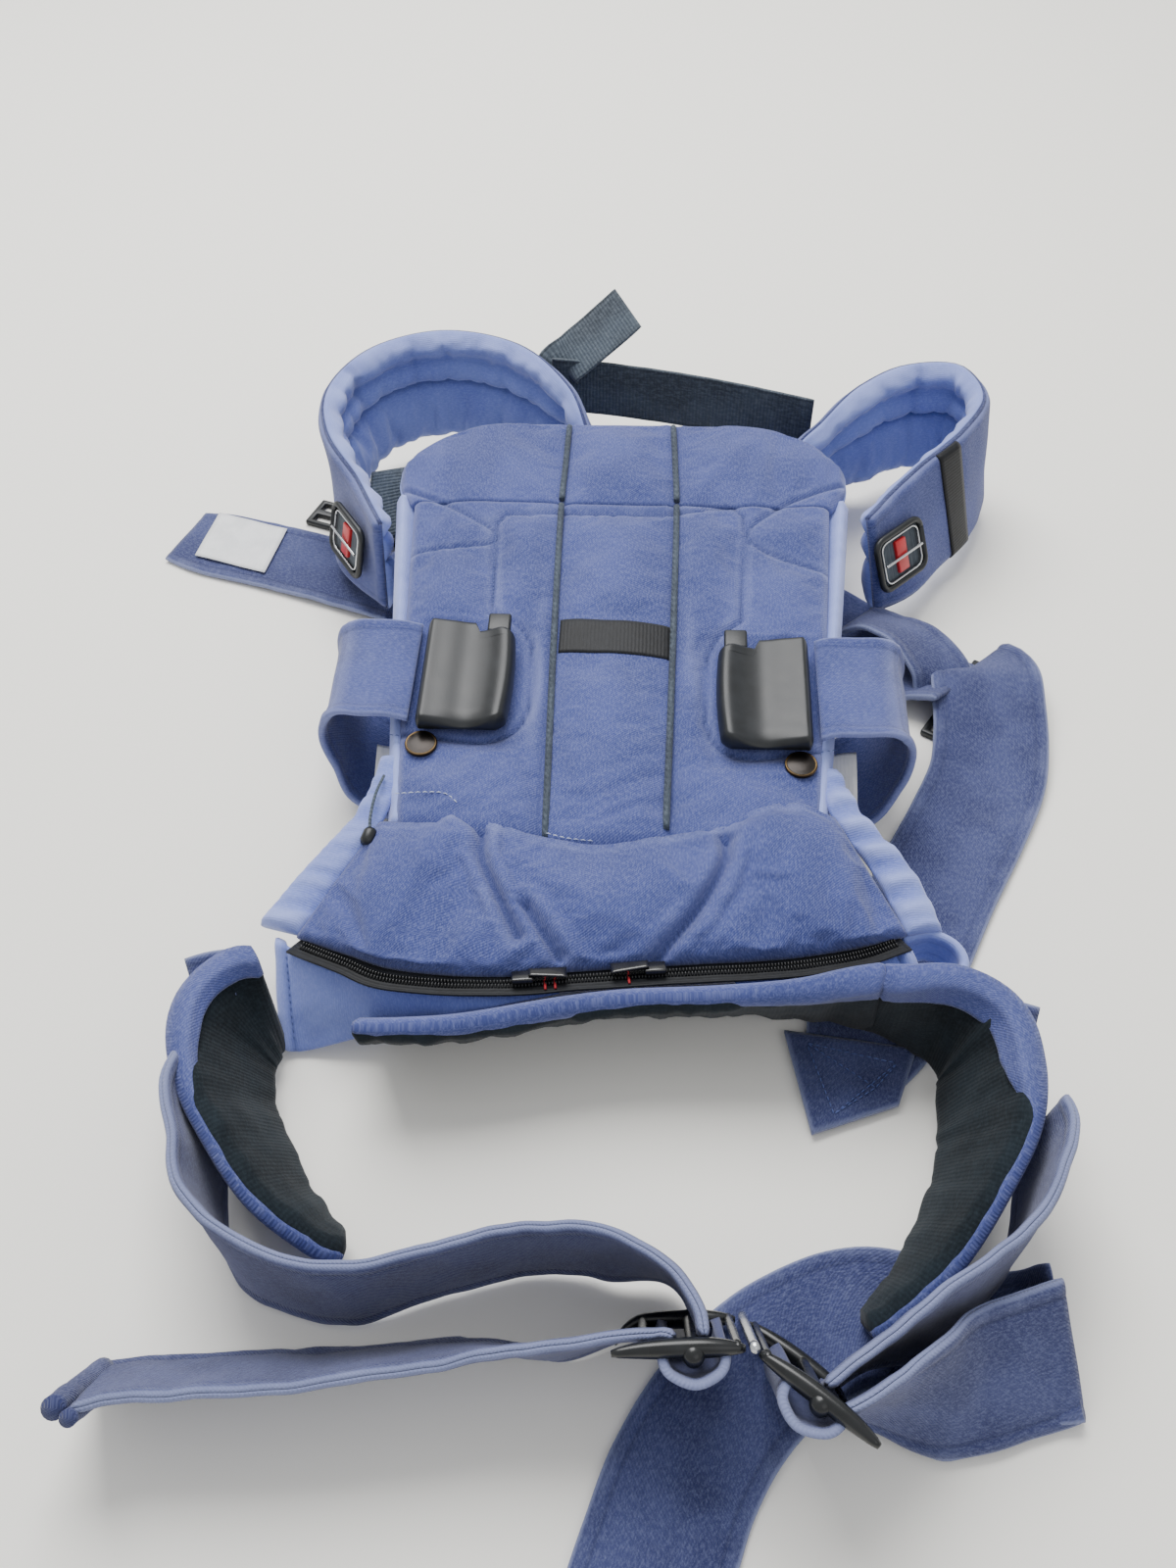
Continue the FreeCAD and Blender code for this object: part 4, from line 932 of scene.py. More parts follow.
def makeZip():
    grid = strapGrid([(*place, -74) for place in zipRoute], 14.5, 2.2, 17)
    edge = grid["edge"]
    thick = 0.55 * rounded(edge + 0.2, 0.8)
    sag = 0.5 * ripple(grid["along"], grid["across"], 22, 30, 3.0)
    # painted shade along the lines 3 mm in from the tape's edges
    piece = sewnPiece("zipTape", grid, thick + sag, -thick + sag, satinLabel, 0.3 * groove(edge, 1.5),
                      0.3 * groove(edge - 3, 1))
    settle(piece, "carrier", "zip_tape", "seat_zip_tape")
    # the middle of the tape: its places, the ways out of and across it, and how far along they lie
    mid, normal, side, along = (grid[key][:, 8] for key in ("mid", "normal", "side", "along"))
    return mid, -normal, side, along


def makeCoil(track, out, side, reach):
    # two rows of turns that mesh along the middle of the tape
    coil = {"pitch": 1.5, "girth": 0.5, "turn": ((0.2, 0.7), (0.9, 1.75), (2.1, 1.6), (2.7, 0.6))}
    girth = coil["girth"]
    verts, faces = [], []
    for row, first in ((-1, 4.0), (1, 4.75)):
        for start in np.arange(first, reach[-1] - 4, coil["pitch"]):
            place, lift, over = (between([start], reach, line)[0] for line in (track, out, side))
            ahead = np.cross(over, lift)
            faces += ringFaces(4, 4, len(verts))
            for reachOut, rise in coil["turn"]:
                spot = place + over * reachOut * row + lift * rise
                for along, up in ((-girth, 0.0), (0.0, girth), (girth, 0.0), (0.0, -girth)):
                    verts.append(spot + ahead * along + lift * up)
    settle(finishMesh("zipCoil", verts, faces, nylonCoil), "carrier", "zip_coil", "zip_teeth")


def makeZipSliders(track, out, side):
    pull = {"start": 3.0, "length": 17.0, "half": 2.3, "flare": 1.1, "thick": 0.7}
    for sideName, turn in (("left", -1), ("right", 1)):
        node = f"zip_slider_{sideName}"
        hardPart(f"zipSlider{sideName.title()}", node, enamelledZinc, 0.9, node, "zip_metal")
        # the pull tab lies along the tape, towards the middle
        centre = sum(np.array(corner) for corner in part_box(node)) / 2 / mm
        nearest = int(np.argmin(np.linalg.norm(track - centre, axis=1)))
        lift, over = out[nearest], side[nearest]
        ahead = np.cross(over, lift)
        ahead = ahead * (1 if ahead[0] * turn < 0 else -1)
        share, climb = np.meshgrid(edgeSpread(9), np.linspace(0, 1, 14))
        width = pull["half"] + pull["flare"] * climb
        mid = centre + ahead * (pull["start"] + pull["length"] * climb)[..., None] \
            + over * (share * width)[..., None] + lift * (2.6 - 1.4 * climb)[..., None]
        edge = np.minimum(width * (1 - np.abs(share)), np.minimum(climb, 1 - climb) * pull["length"])
        thick = pull["thick"] * rounded(edge + 0.15, 0.8)
        grid = plainGrid(mid, lift, share * width, climb * pull["length"])
        settle(sewnPiece(f"zipPull{sideName.title()}", grid, thick, -thick, enamelledZinc), node, "zip_metal")


def makeBarTacks(track, out, side):
    tacks = []
    for x in (-24, -20, 12):
        nearest = int(np.argmin(np.abs(track[:, 0] - zeroPoint[0] - x)))
        line = [track[nearest] + side[nearest] * reachOut + out[nearest] * 1.2
                for reachOut in (-6, -3, 0, 3, 6)]
        tacks.append(tubeAlong("tack", line, 0.6, redThread, 6))
    settle(joined("barTacks", tacks), "carrier", "zip_tape")


makeSeat()
makeSideGussets()
makeLegFlaps()
makeLegHem()
track, out, side, reach = makeZip()
makeCoil(track, out, side, reach)
makeZipSliders(track, out, side)
makeBarTacks(track, out, side)
print("stage: seat and zip made")


# side buckles and the straps that arch from them

def makeBuckle(sideName):
    spec, title = buckles[sideName], sideName.title()
    half, length = buckles["width"] / 2, buckles["length"] / 2
    # across from the inner side, which bulges, to the outer one, which is straight
    lateral, climb = np.meshgrid(edgeSpread(44), edgeSpread(60))
    corner = 4.5 * np.clip((np.abs(climb) - 0.86) / 0.14, 0, 1) ** 2
    reach = np.where(lateral > 0, half - corner * 0.4, half - 1 + 2.5 * (1 - climb ** 2) - corner)
    x = lateral * reach * spec["turn"]
    notch = np.clip((climb - 0.72) / 0.06, 0, 1) * np.clip((-lateral - 0.12) / 0.1, 0, 1)
    y = climb * length - notch * 6.5
    edge = np.minimum((1 - np.abs(lateral)) * reach, (1 - np.abs(climb)) * length)
    valley = 2.6 * groove(lateral + 0.05, 0.42)
    roll = 2.0 * groove(lateral + 0.78, 0.22) + 0.8 * groove(lateral - 0.9, 0.2)
    lip = 2.6 * np.clip((-climb - 0.72) / 0.28, 0, 1) ** 2 * groove(lateral + 0.1, 0.7)
    rise = 8.4 - valley + roll - lip
    under = 1.5 + 1.2 * np.clip((-climb - 0.6) / 0.4, 0, 1)
    mid = onFront(spec["x"] + x, spec["y"] + y, buckles["rise"])
    rim = rounded(edge + 0.1, 3.6)
    cover = sewnPiece(f"buckleCover{title}", plainGrid(mid, outOfFront, x, y), under + (rise - under) * rim,
                      0.4 + 1.2 * (1 - rim), mouldedAcetal)
    cover.data.set_sharp_from_angle(angle=math.radians(60))
    settle(cover, f"cover_{sideName}", "black_plastic", f"buckle_cover_{sideName}")
    hardPart(f"releaseTab{title}", f"release_tab_{sideName}", mouldedAcetal, 1.3, f"tab_{sideName}",
             "black_plastic")
    hardPart(f"buckleBase{title}", f"buckle_base_{sideName}", mouldedAcetal, 0.8, "carrier", "black_plastic")
    # ribs inside the open lower end, moulded with the base
    ribs = []
    for number in range(-2, 3):
        low = spec["y"] - length + 12
        line = [onFront(spec["x"] + number * 6.5, low + step * 4, 3.6) for step in range(4)]
        ribs.append(tubeAlong("rib", line, 0.7, mouldedAcetal, 8))
    settle(joined(f"buckleRibs{title}", ribs), "carrier", "black_plastic")


def makeBuckleStrap(sideName):
    spec = buckles[sideName]
    turn, top, reach = spec["turn"], spec["strapTop"], spec["strapReach"]
    route = [(spec["strapStart"], top + 1, 70.5), (112, top + 2, 71.5), (125, top + 3, 70),
             (reach - 8, top + 8, 63.5), (reach, top + 12, 46), (reach - 4, top + 6, 28), (136, top - 2, 12),
             (116, top - 10, 7), (96, top - 14, 6)]
    stops, line = evened(smoothLine([(turn * x, y, z) for x, y, z in route], 14), 64)
    centre = onTable(line)
    run = unit(np.gradient(centre, axis=0))
    across = np.broadcast_to(np.array([0.0, 1.0, 0.0]), run.shape)
    normal = unit(np.cross(run, across))
    normal = normal * (1 if normal[2, 2] > 0 else -1)
    grid = crossGrid(centre, across, normal, np.full(64, buckles["strapHalf"]), stops, 33)
    edge, over, along = grid["edge"], grid["across"], grid["along"]
    slack = 1.1 * ripple(along, over, 15, 40, 2.0 + turn) + 0.8 * ripple(along, over, 30, 16, 5.0 + turn)
    slack = slack * 0.6 + 2.5 * groove(edge, 8) * np.clip(np.sin(along / 26), 0, 1)
    thick = (1.6 + 0.5 * groove(edge - 3, 2.4) - 0.35 * groove(edge - 6.5, 0.9)) * rounded(edge + 0.25, 1.7)
    folds = np.minimum(np.abs(along - 38), np.abs(along - 44))
    thick = thick + 0.5 * groove(along - 46, 4) - 0.4 * groove(folds, 0.9)
    wearAndHighlight = 0.9 * groove(edge, 1.6) + 0.4 * groove(along - 40, 6)
    wearAndHighlight = wearAndHighlight + 0.35 * np.clip(ripple(along, over, 10, 12, 6), 0, 1)
    # painted shade along the hem grooves and the two folds
    piece = sewnPiece(f"buckleStrap{sideName.title()}", grid, thick + slack, -thick + slack, denimTwill, wearAndHighlight,
                      0.5 * groove(edge - 6.5, 0.9) + 0.5 * groove(folds, 0.9))
    settle(piece, "carrier", "denim", f"buckle_strap_{sideName}")


def careTag(name, mid, normal, across, along):
    # a white tag with no print
    thin = np.full(across.shape, 0.2)
    settle(sewnPiece(name, plainGrid(mid, normal, across, along), thin, -thin, whiteTag), "carrier",
           "lining_cotton")


def makeSideTag(sideName):
    # folded out from under the panel beside the strap
    turn = buckles[sideName]["turn"]
    share, climb = np.meshgrid(np.linspace(-1, 1, 12), np.linspace(0, 1, 16))
    mid = onTable(np.stack([buckles[sideName]["tagX"] + share * 14, 16 - 30 * climb + share * 2 * turn,
                            41 - 14 * climb ** 1.3 + 1.2 * np.sin(share * 2.4)], -1))
    careTag(f"careTag{sideName.title()}", mid, np.array([0.0, 0.35, 0.94]), share * 14, climb * 30)


for sideName in ("left", "right"):
    makeBuckle(sideName)
    makeBuckleStrap(sideName)
    makeSideTag(sideName)
hardPart("bucklePins", "buckle_pins", drawnSteel, 0.3, "carrier", "steel")
print("stage: side buckles made")


# padded shoulder straps, their height adjusters and the bands under the panel

shoulder = {
    "width": 72.0, "seeds": {"left": 3.0, "right": 7.0},
    "left": [(-136, 157, 45, -3, .84), (-162, 196, 45, -15, .88), (-175, 238, 49, 4, .95),
             (-177, 276, 51, 6), (-158, 313, 54, 2), (-118, 332, 55, 0), (-74, 323, 53, 0),
             (-38, 303, 46, -16), (-12, 282, 34, -42)],
    "right": [(144, 166, 44, 14, .84), (163, 185, 44, 22, .9), (181, 208, 46, 18, .95), (205, 238, 48, 12),
              (219, 274, 50, 6), (205, 304, 52, 2), (172, 300, 54, 0), (146, 284, 52, 2), (120, 270, 45, 22),
              (94, 263, 36, 54), (76, 254, 34.5, 72)],
}


def makeShoulder(sideName, inward):
    title, seed = sideName.title(), shoulder["seeds"][sideName]
    grid = strapGrid(shoulder[sideName], shoulder["width"], 2.6, 33)
    edge, over, along, end = (grid[key] for key in ("edge", "across", "along", "end"))
    slack = 0.8 * ripple(along, over, 30, 40, seed)
    # denim shell, drawn flat over the adjuster's window
    window = groove(along - 44, 26)
    thick = (4.3 + 1.0 * ripple(along, over, 16, 26, seed + 1) * (1 - window)) * rounded(edge + 0.4, 4.4) \
        * rounded(end + 0.4, 3.0)
    wearAndHighlight = 0.7 * groove(edge, 2.0) + 0.35 * np.clip(ripple(along, over, 14, 30, seed + 2), 0, 1)
    # painted shade along the stitch lines 5.5 mm in from the edges
    outer = sewnPiece(f"shoulderShell{title}", grid, -inward * (0.1 + thick) + slack * 0.4,
                      -inward * 0.1 + slack * 0.4, denimTwill, wearAndHighlight, 0.6 * groove(edge - 5.5, 1.0))
    settle(outer, "carrier", "denim", f"shoulder_{sideName}_shell")
    # lining: wadding sewn in long channels and gathered round the bend
    channels = np.minimum(np.abs(over - 19), np.abs(over - 3))
    gathers = ripple(along, over * 0.3, 12, 30, seed + 3)
    puff = 5.6 * (1 - np.exp(-np.minimum(channels, edge) / 6))
    full = 4.6 + puff + 2.6 * gathers + 0.7 * ripple(along, over, 5, 12, seed + 4)
    depth = full * rounded(edge + 0.3, 6.0) * rounded(end + 0.4, 4.0) - 2.6 * groove(channels, 1.7)
    # painted shade in the channels and gather valleys; the gather crests paled as painted highlight, the edges
    # as wear
    paintedShade = 0.8 * groove(channels, 1.3) + np.clip(-1.2 * gathers - 0.25, 0, 0.6)
    wearAndHighlight = 0.75 * groove(edge - 3, 5) + 0.35 * np.clip(gathers, 0, 1)
    # the lining reaches a little past the shell at both edges
    wider = dict(grid, mid=grid["mid"] + grid["side"] * (1.6 * over / np.abs(over).max())[..., None])
    inner = sewnPiece(f"shoulderLining{title}", wider, inward * (0.15 + np.maximum(depth, 0.3)),
                      inward * 0.15 + 0 * depth, brushedCotton, wearAndHighlight, paintedShade)
    swell(inner, groove(channels, 2.2) + (edge < 3) + (end < 4), 1.6, 0.03, 3.0)
    settle(inner, "carrier", "lining_cotton", f"shoulder_{sideName}_lining")
    # piping of denim in the seam between the two
    for name, pick in (("Upper", -1), ("Lower", 0)):
        line = grid["mid"][::2, pick] - grid["normal"][::2, pick] * (inward * 0.8)
        settle(tubeAlong(f"seam{title}{name}", line, 1.25, denimStrap, 8), "carrier", "denim")
    return grid


adjuster = {"halfLong": 19.0, "halfWide": 15.5, "corner": 6.0, "lean": {"left": -13, "right": 21}}


def makeHeightAdjuster(sideName):
    title, node = sideName.title(), f"height_slider_{sideName}"
    hardPart(f"heightSlider{title}", node, redAbs, 0.9, node, "red_plastic")
    centre = sum(np.array(corner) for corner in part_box(f"height_frame_{sideName}")) / 2 / mm
    joint = next(joint for joint in frame["joints"] if joint["name"] == f"height_{sideName}_slide")
    run = np.array(joint["axis"])
    up = unit(np.cross(np.cross(run, [0.0, 0.0, 1.0]), run))
    lean = math.radians(adjuster["lean"][sideName])
    over = up * math.cos(lean) - np.cross(run, up) * math.sin(lean)
    out = np.cross(run, over)
    out = out * (1 if out @ (centre - [zeroPoint[0], zeroPoint[1] + 250, 50]) > 0 else -1)
    # a rounded window frame as a swept bar, with a steel trim inside it
    halfLong, halfWide, corner = adjuster["halfLong"], adjuster["halfWide"], adjuster["corner"]
    ring = []
    for cornerX, cornerY, first in ((1, 1, 0), (-1, 1, 90), (-1, -1, 180), (1, -1, 270)):
        for step in range(7):
            angle = math.radians(first + step * 15)
            ring.append((cornerX * (halfLong - corner) + corner * math.cos(angle),
                         cornerY * (halfWide - corner) + corner * math.sin(angle)))
    ring.append(ring[0])
    for name, inset, rise, girth, material, slot, nodes in (
            ("heightFrame", 0.0, 0.4, 1.9, mouldedAcetal, "black_plastic", [f"height_frame_{sideName}"]),
            ("heightTrim", 2.7, 1.0, 0.6, drawnSteel, "steel", [])):
        shrink = 1 - inset / halfWide
        line = [centre + run * (a * shrink) + over * (b * shrink) + out * rise for a, b in ring]
        settle(tubeAlong(name + title, line, girth, material), "carrier", slot, *nodes)
    # the dark well behind the slider
    share, climb = np.meshgrid(np.linspace(-1, 1, 8), np.linspace(-1, 1, 8))
    mid = centre + (share * 17.5)[..., None] * run + (climb * 14)[..., None] * over - out * 0.9
    well = sewnPiece(f"heightWell{title}", plainGrid(mid, out, share, climb), np.full(share.shape, 0.5),
                     np.full(share.shape, -0.6), nylonWebbing)
    settle(well, "carrier", "black_webbing")


def makeShoulderLabel(grid):
    label = {"along": 77.0, "half": 10.0, "reach": 36.0}
    rows = np.abs(grid["along"][:, 0] - label["along"]) <= label["half"] + 0.5
    part = {key: grid[key][rows] for key in ("mid", "normal", "across", "along", "edge")}
    edge = np.minimum(label["half"] + 0.6 - np.abs(part["along"] - label["along"]),
                      label["reach"] - np.abs(part["across"]))
    out = 4.6 * rounded(part["edge"] + 0.4, 4.4) + 0.5
    piece = sewnPiece("shoulderLabel", part, out + 0.5 * rounded(edge + 0.2, 0.8), out - 0.4, satinLabel,
                      0.5 * groove(edge, 0.9))
    settle(piece, "carrier", "black_label", "shoulder_label")


def makeStrap(name, stations, width, thick, material, slotName, node, seed, hem=6.5, slack=1.0, count=29,
              wearAndHighlight=0.9, body="carrier", plies=1):
    # a flat strap: folded hems down both edges, stitched, with slack in its run
    grid = strapGrid(stations, width, 2.6, count)
    edge, over, along, end = (grid[key] for key in ("edge", "across", "along", "end"))
    half = thick / 2
    depth = half + 0.45 * groove(edge - hem / 2, hem / 3) - 0.35 * groove(edge - hem, 0.8)
    depth = depth * rounded(edge + 0.3, half + 0.4) * rounded(end + 0.3, half + 0.4)
    # near the table the slack only lifts
    wave = slack * (ripple(along, over, 26, 50, seed) + 0.5 * ripple(along, over, 11, 20, seed + 1))
    facing = grid["normal"][..., 2]
    floorGap = grid["mid"][..., 2] - np.abs(facing) * (half + 0.6)
    wave = np.where(floorGap < 3.0, np.abs(wave) * np.sign(facing), wave)
    paleMix = wearAndHighlight * groove(edge, 1.3) + 0.3 * np.clip(ripple(along, over, 12, 16, seed + 2), 0, 1) \
        + 0.25 * groove(edge - 3.5, 1.4)
    # painted shade along the hem grooves
    looks = (material, paleMix, 0.6 * groove(edge - hem, 0.8))
    if plies == 1:
        piece = sewnPiece(name, grid, depth + wave, -depth + wave, *looks)
    else:
        # folded cloth: two plies whose edges show side by side
        piece = joined(name, [sewnPiece(name + "Front", grid, 1.6 * depth + wave, 0.1 + wave, *looks),
                              sewnPiece(name + "Back", grid, -0.1 + wave, -1.6 * depth + wave, *looks)])
    return settle(piece, body, slotName, *([node] if node else []))


routes = {
    "crossBandLeft": [(-6, 276, 29, -50), (10, 259, 16, -72), (30, 240, 9, -84), (80, 190, 6.5, -90),
                 (128, 150, 6, -90), (164, 120, 7, -86, .95), (180, 109, 10, -80, .85),
                 (193, 99, 14, -74, .8)],
    "bandFold": [(138, 150, 16, -86, .6), (152, 138, 25, -70, .62), (168, 124, 27, -76, .62),
                 (181, 108, 19, -84, .62), (186, 96, 10, -86, .6)],
    "crossBandRight": [(69, 246, 34.5, 76), (42, 230, 34.5, 88), (0, 208, 34, 90), (-50, 197, 28, 90),
                  (-96, 204, 19, 90), (-132, 224, 12, 88, .95)],
    "tailLeft": [(-122, 178, 5, 90), (-150, 190, 4.2, 90), (-180, 202, 3.4, 90), (-220, 216, 2.8, 90),
                 (-255, 227, 2.2, 90), (-279, 235, 2, 90, .86)],
    "tailRight": [(202, 118, 8, -90, .92), (206, 113, 15, -90, .96), (207, 103, 18, -90),
                  (207, 84, 14, -90), (206, 62, 9, -90), (201, 36, 4.5, -90), (186, 2, 3, -90),
                  (166, -38, 2.4, -90), (147, -80, 2.2, -90), (128, -122, 2.2, -90),
                  (112, -158, 2.2, -90, .62)],
    "backStrap": [(-48, 320, 62, 0), (-10, 316, 61, 0), (40, 306, 60, 0), (85, 293, 59, 0),
                  (115, 283, 58, 0)],
    "backStrapTail": [(-47, 321, 66, 20, .8), (-42, 323, 74, 45, .82), (-34, 324, 81, 62, .86),
                      (-24, 327, 89, 70, .9), (-12, 331, 98, 70, .9), (0, 335, 108, 70, .9)],
}


for sideName, inward in (("left", 1), ("right", -1)):
    shoulderGrid = makeShoulder(sideName, inward)
    makeHeightAdjuster(sideName)
hardPart("heightRails", "height_rails", drawnSteel, 0.2, "carrier", "steel")
makeShoulderLabel(shoulderGrid)
for name, node, width, wide, thick, seed, slack in (
        ("crossBandLeft", "cross_band_left", 66, 64, 4.0, 2.0, 0.8),
        ("crossBandRight", "cross_band_right", 66, 64, 4.0, 4.0, 0.8),
        ("bandFold", None, 62, None, 3.0, 5.0, 1.4),
        ("tailLeft", "tail_left", 58, 58, 2.4, 6.0, 0.9),
        ("tailRight", "tail_right", 62, 62, 2.4, 8.0, 0.9)):
    piece = makeStrap(name, routes[name], width, thick, denimStrap, "denim", node, seed, slack=slack)
for name, node, seed in (("backStrap", "back_strap", 1.0), ("backStrapTail", "back_strap_tail", 2.6)):
    piece = makeStrap(name, routes[name], 38, 2.2, nylonWebbing, "black_webbing", node, seed, hem=1.5,
                      slack=0.5, wearAndHighlight=0.3)
for sideName in ("left", "right"):
    hardPart(f"ladderLock{sideName.title()}", f"ladder_lock_{sideName}", mouldedAcetal, 1.2, "carrier",
             "black_plastic")
print("stage: shoulder straps made")


# waist belt, its webbing and buckle

belt = {
    "width": 62.0,
    "roll": {"centre": (4, 6, 7, 6, 5, 6, 9, 13), "left": (13, 12, 11, 8, 4, 3, 3, 3, 3),
             "right": (14, 16, 17, 16, 5, 3, 3, 3, 3)},
    "centre": [(-106, -149, 31, -36), (-84, -149, 31, -34), (-60, -146, 31, -34), (-22, -137, 31, -34),
               (10, -132, 32, -34), (50, -130, 33, -33), (85, -129, 34, -28), (108, -128, 35, -20),
               (127, -129, 36, -12)],
    "left": [(-152, -135.5, 32, -11), (-161, -143, 32, -26), (-168, -160, 32, -34),
             (-163, -184, 31, -34, .96), (-150, -207, 28, -34, .86), (-132, -231, 23, -35, .7),
             (-112, -246, 16, -36, .46), (-104, -249, 12, -36, .3)],
    "right": [(122, -129, 35.5, -13), (133, -130, 35, -10), (156, -137, 34, 8), (170, -152, 33, 24),
              (171, -172, 32, 33), (168, -196, 31, 33, .95), (157, -221, 28, 32, .82),
              (140, -249, 22, 33, .62), (121, -269, 15, 30, .42), (113, -275, 12, 30, .3)],
}


def makeBelt(label, inward, seed):
    title = label.title()
    grid = strapGrid(belt[label], belt["width"], 2.6, 33)
    edge, over, along, end = (grid[key] for key in ("edge", "across", "along", "end"))
    slack = 0.4 * 0.9 * ripple(along, over, 30, 40, seed)
    thick = (3.0 + 1.1 * groove(edge - 5, 4) + 0.5 * ripple(along, over, 12, 18, seed + 1)) \
        * rounded(edge + 0.4, 3.2) * rounded(end + 0.6, 2.5)
    wearAndHighlight = 0.85 * groove(edge, 2.4) + 0.35 * np.clip(ripple(along, over, 9, 12, seed + 2), 0, 1)
    # painted shade along the stitch lines 8 mm in from the edges
    shell = sewnPiece(f"belt{title}Shell", grid, -inward * (0.1 + np.maximum(thick, 0.3)) + slack,
                      -inward * 0.1 + slack, denimStrap, wearAndHighlight, 0.6 * groove(edge - 8, 0.9))
    settle(shell, "carrier", "denim", f"belt_{label}_shell")
    gathers = ripple(along, over * 0.4, 10, 24, seed + 3) + 0.7 * ripple(along, over * 0.2, 24, 40, seed + 5)
    strength = 2.4 if label == "centre" else 1.9
    full = 6.2 + 2.0 * (1 - np.exp(-edge / 9)) + strength * gathers + 0.6 * ripple(along, over, 5, 14, seed + 4)
    depth = full * rounded(edge + 0.4, 5.5) * rounded(end + 0.6, 4.0)
    # gather crests paled as painted highlight, edges as wear; painted shade in the gather valleys
    wearAndHighlight = 0.5 * np.clip(gathers, 0, 1) + 0.3 * groove(edge, 4)
    pad = sewnPiece(f"belt{title}Pad", grid, inward * (0.15 + np.maximum(depth, 0.3)),
                    inward * 0.15 + 0 * depth, spacerMesh, wearAndHighlight, np.clip(-0.8 * gathers - 0.2, 0, 0.6))
    settle(pad, "carrier", "black_mesh", f"belt_{label}_pad")
    # the denim is turned over the upper edge, widest behind the seat
    widths = belt["roll"][label]
    turned = np.interp(along[:, :1] / along.max(), np.linspace(0, 1, len(widths)), widths)
    columns, middle = 13, 16
    upper = {key: grid[key][:, -columns:].copy() for key in grid}
    share = np.linspace(0, 1, columns)[None, :]
    inside, outside = (1 - share) * turned, share * turned
    place = over[:, -1:] + 0.8 - inside
    upper["mid"] = grid["mid"][:, middle:middle + 1] \
        + upper["side"] * (place - over[:, middle:middle + 1])[..., None]
    upper["across"] = place
    rim = rounded(inside + 0.3, 4.5) * rounded(outside + 0.9, 1.6) * rounded(upper["end"] + 0.6, 2.5)
    lumps = 0.5 * ripple(upper["along"], place, 8, 10, seed + 6)
    # painted shade along a line next to where the turned denim ends
    roll = sewnPiece(f"belt{title}Roll", upper, inward * (np.clip(turned * 0.85, 4, 9.6) + lumps) * rim,
                     -inward * 4.4 * rim, denimTwill, 0.4 * groove(inside - 3, 3),
                     0.6 * groove(outside - 1.2, 1.0))
    settle(roll, "carrier", "denim")


for label, inward, seed in (("centre", 1, 2.0), ("left", -1, 5.0), ("right", 1, 8.0)):
    makeBelt(label, inward, seed)

waist = {
    "width": 60.0, "thick": 2.4,
    "waistStrapLeft": [(-171, -186, 33, -22, .9), (-173, -200, 34, -14), (-166, -222, 34, -10),
                       (-158, -246, 34, -8), (-135, -268, 33, -2), (-97, -276, 33, -4),
                       (-62, -266, 33, -8), (-24, -255, 33, -8), (8, -257, 35, -8), (33, -274, 37, -6),
                       (44, -292, 38, -3), (45, -303, 38, 0)],
    "waistTailLeft": [(37, -306, 38, 2), (30, -302, 37, 5), (8, -299, 35, 12), (-40, -296, 30, 28),
                      (-85, -302, 28, 32), (-130, -307, 27, 34), (-170, -310, 26, 35),
                      (-190, -314, 26, 36)],
    "waistStrapRight": [(186, -196, 37, 20, .85), (188, -209, 38, 13, .95), (182, -228, 39, 9),
                        (170, -252, 40, 6), (141, -277, 40, 0), (114, -299, 38, 0), (97, -313, 38, 0),
                        (89, -320, 38, 0)],
    "waistTailFront": [(92, -330, 38, 0), (102, -325, 37, 0), (116, -318, 34, 8), (134, -309, 31, 22),
                       (153, -299, 27, 36), (172, -291, 25, 40), (190, -284.5, 24.5, 40)],
    "waistTailRight": [(189, -280, 21, -52), (172, -276, 7.4, -81), (150, -271, 2.4, -90),
                       (115, -264, 1.8, -90), (82, -278, 1.8, -90), (57, -302, 1.8, -90),
                       (40, -330, 1.8, -90), (30, -358, 1.8, -90), (22, -384, 1.8, -90)],
}
waistPieces = []
for name, node, seed, plies, body in (("waistStrapLeft", "waist_strap_left", 2.2, 2, "carrier"),
                                      ("waistTailLeft", "waist_tail_left", 4.1, 2, "carrier"),
                                      ("waistStrapRight", "waist_strap_right", 6.3, 2, None),
                                      ("waistTailFront", None, 8.8, 2, None),
                                      ("waistTailRight", "waist_tail_right", 3.7, 1, "carrier")):
    piece = makeStrap(name, waist[name], waist["width"], waist["thick"], denimStrap, "denim", node, seed,
                      slack=1.3, plies=plies, body=body)
    if plies == 2:
        waistPieces.append(piece)


hook = {"x": 63.0, "y": -308.0, "low": 5.0, "high": 71.0, "lean": 0.62, "gap": 3.2,
        "left": (41.0, -309.5), "right": (86.0, -325.5), "wing": {"left": 30.0, "right": 25.0}}


def leanBack(points, strength=1.0):
    # the buckle lies over: its upper edge is nearest the wearer, its lower edge pushed back
    points = np.array(points, float)
    away = np.hypot(points[..., 0] - zeroPoint[0] - hook["x"], points[..., 1] - zeroPoint[1] - hook["y"])
    share = np.clip((80 - away) / 40, 0, 1)
    share = share * share * (3 - 2 * share)
    points[..., 1] += strength * hook["lean"] * share * (hook["high"] - points[..., 2])
    return points


def leanPiece(piece):
    # the straps take less of the lean than the plates
    spots = np.empty(len(piece.data.vertices) * 3)
    piece.data.vertices.foreach_get("co", spots)
    piece.data.vertices.foreach_set("co", (leanBack(spots.reshape(-1, 3) / mm, 0.45) * mm).ravel())
    piece.data.update()


def makeTailTag():
    # care tag on the left tail
    share, climb = np.meshgrid(np.linspace(-1, 1, 14), np.linspace(-1, 1, 14))
    along, over = np.array([-0.945, 0.327, -0.012]), np.array([0.15, 0.985, 0.0])
    mid = np.array([-241.0, 226.0, 5.0]) + (share * 25)[..., None] * along + (climb * 22)[..., None] * over
    mid[..., 2] += 0.5 * ripple(share, climb, 1, 1, 3.0) + 0.4
    careTag("careTagTail", onTable(mid), upright, share * 25, climb * 22)


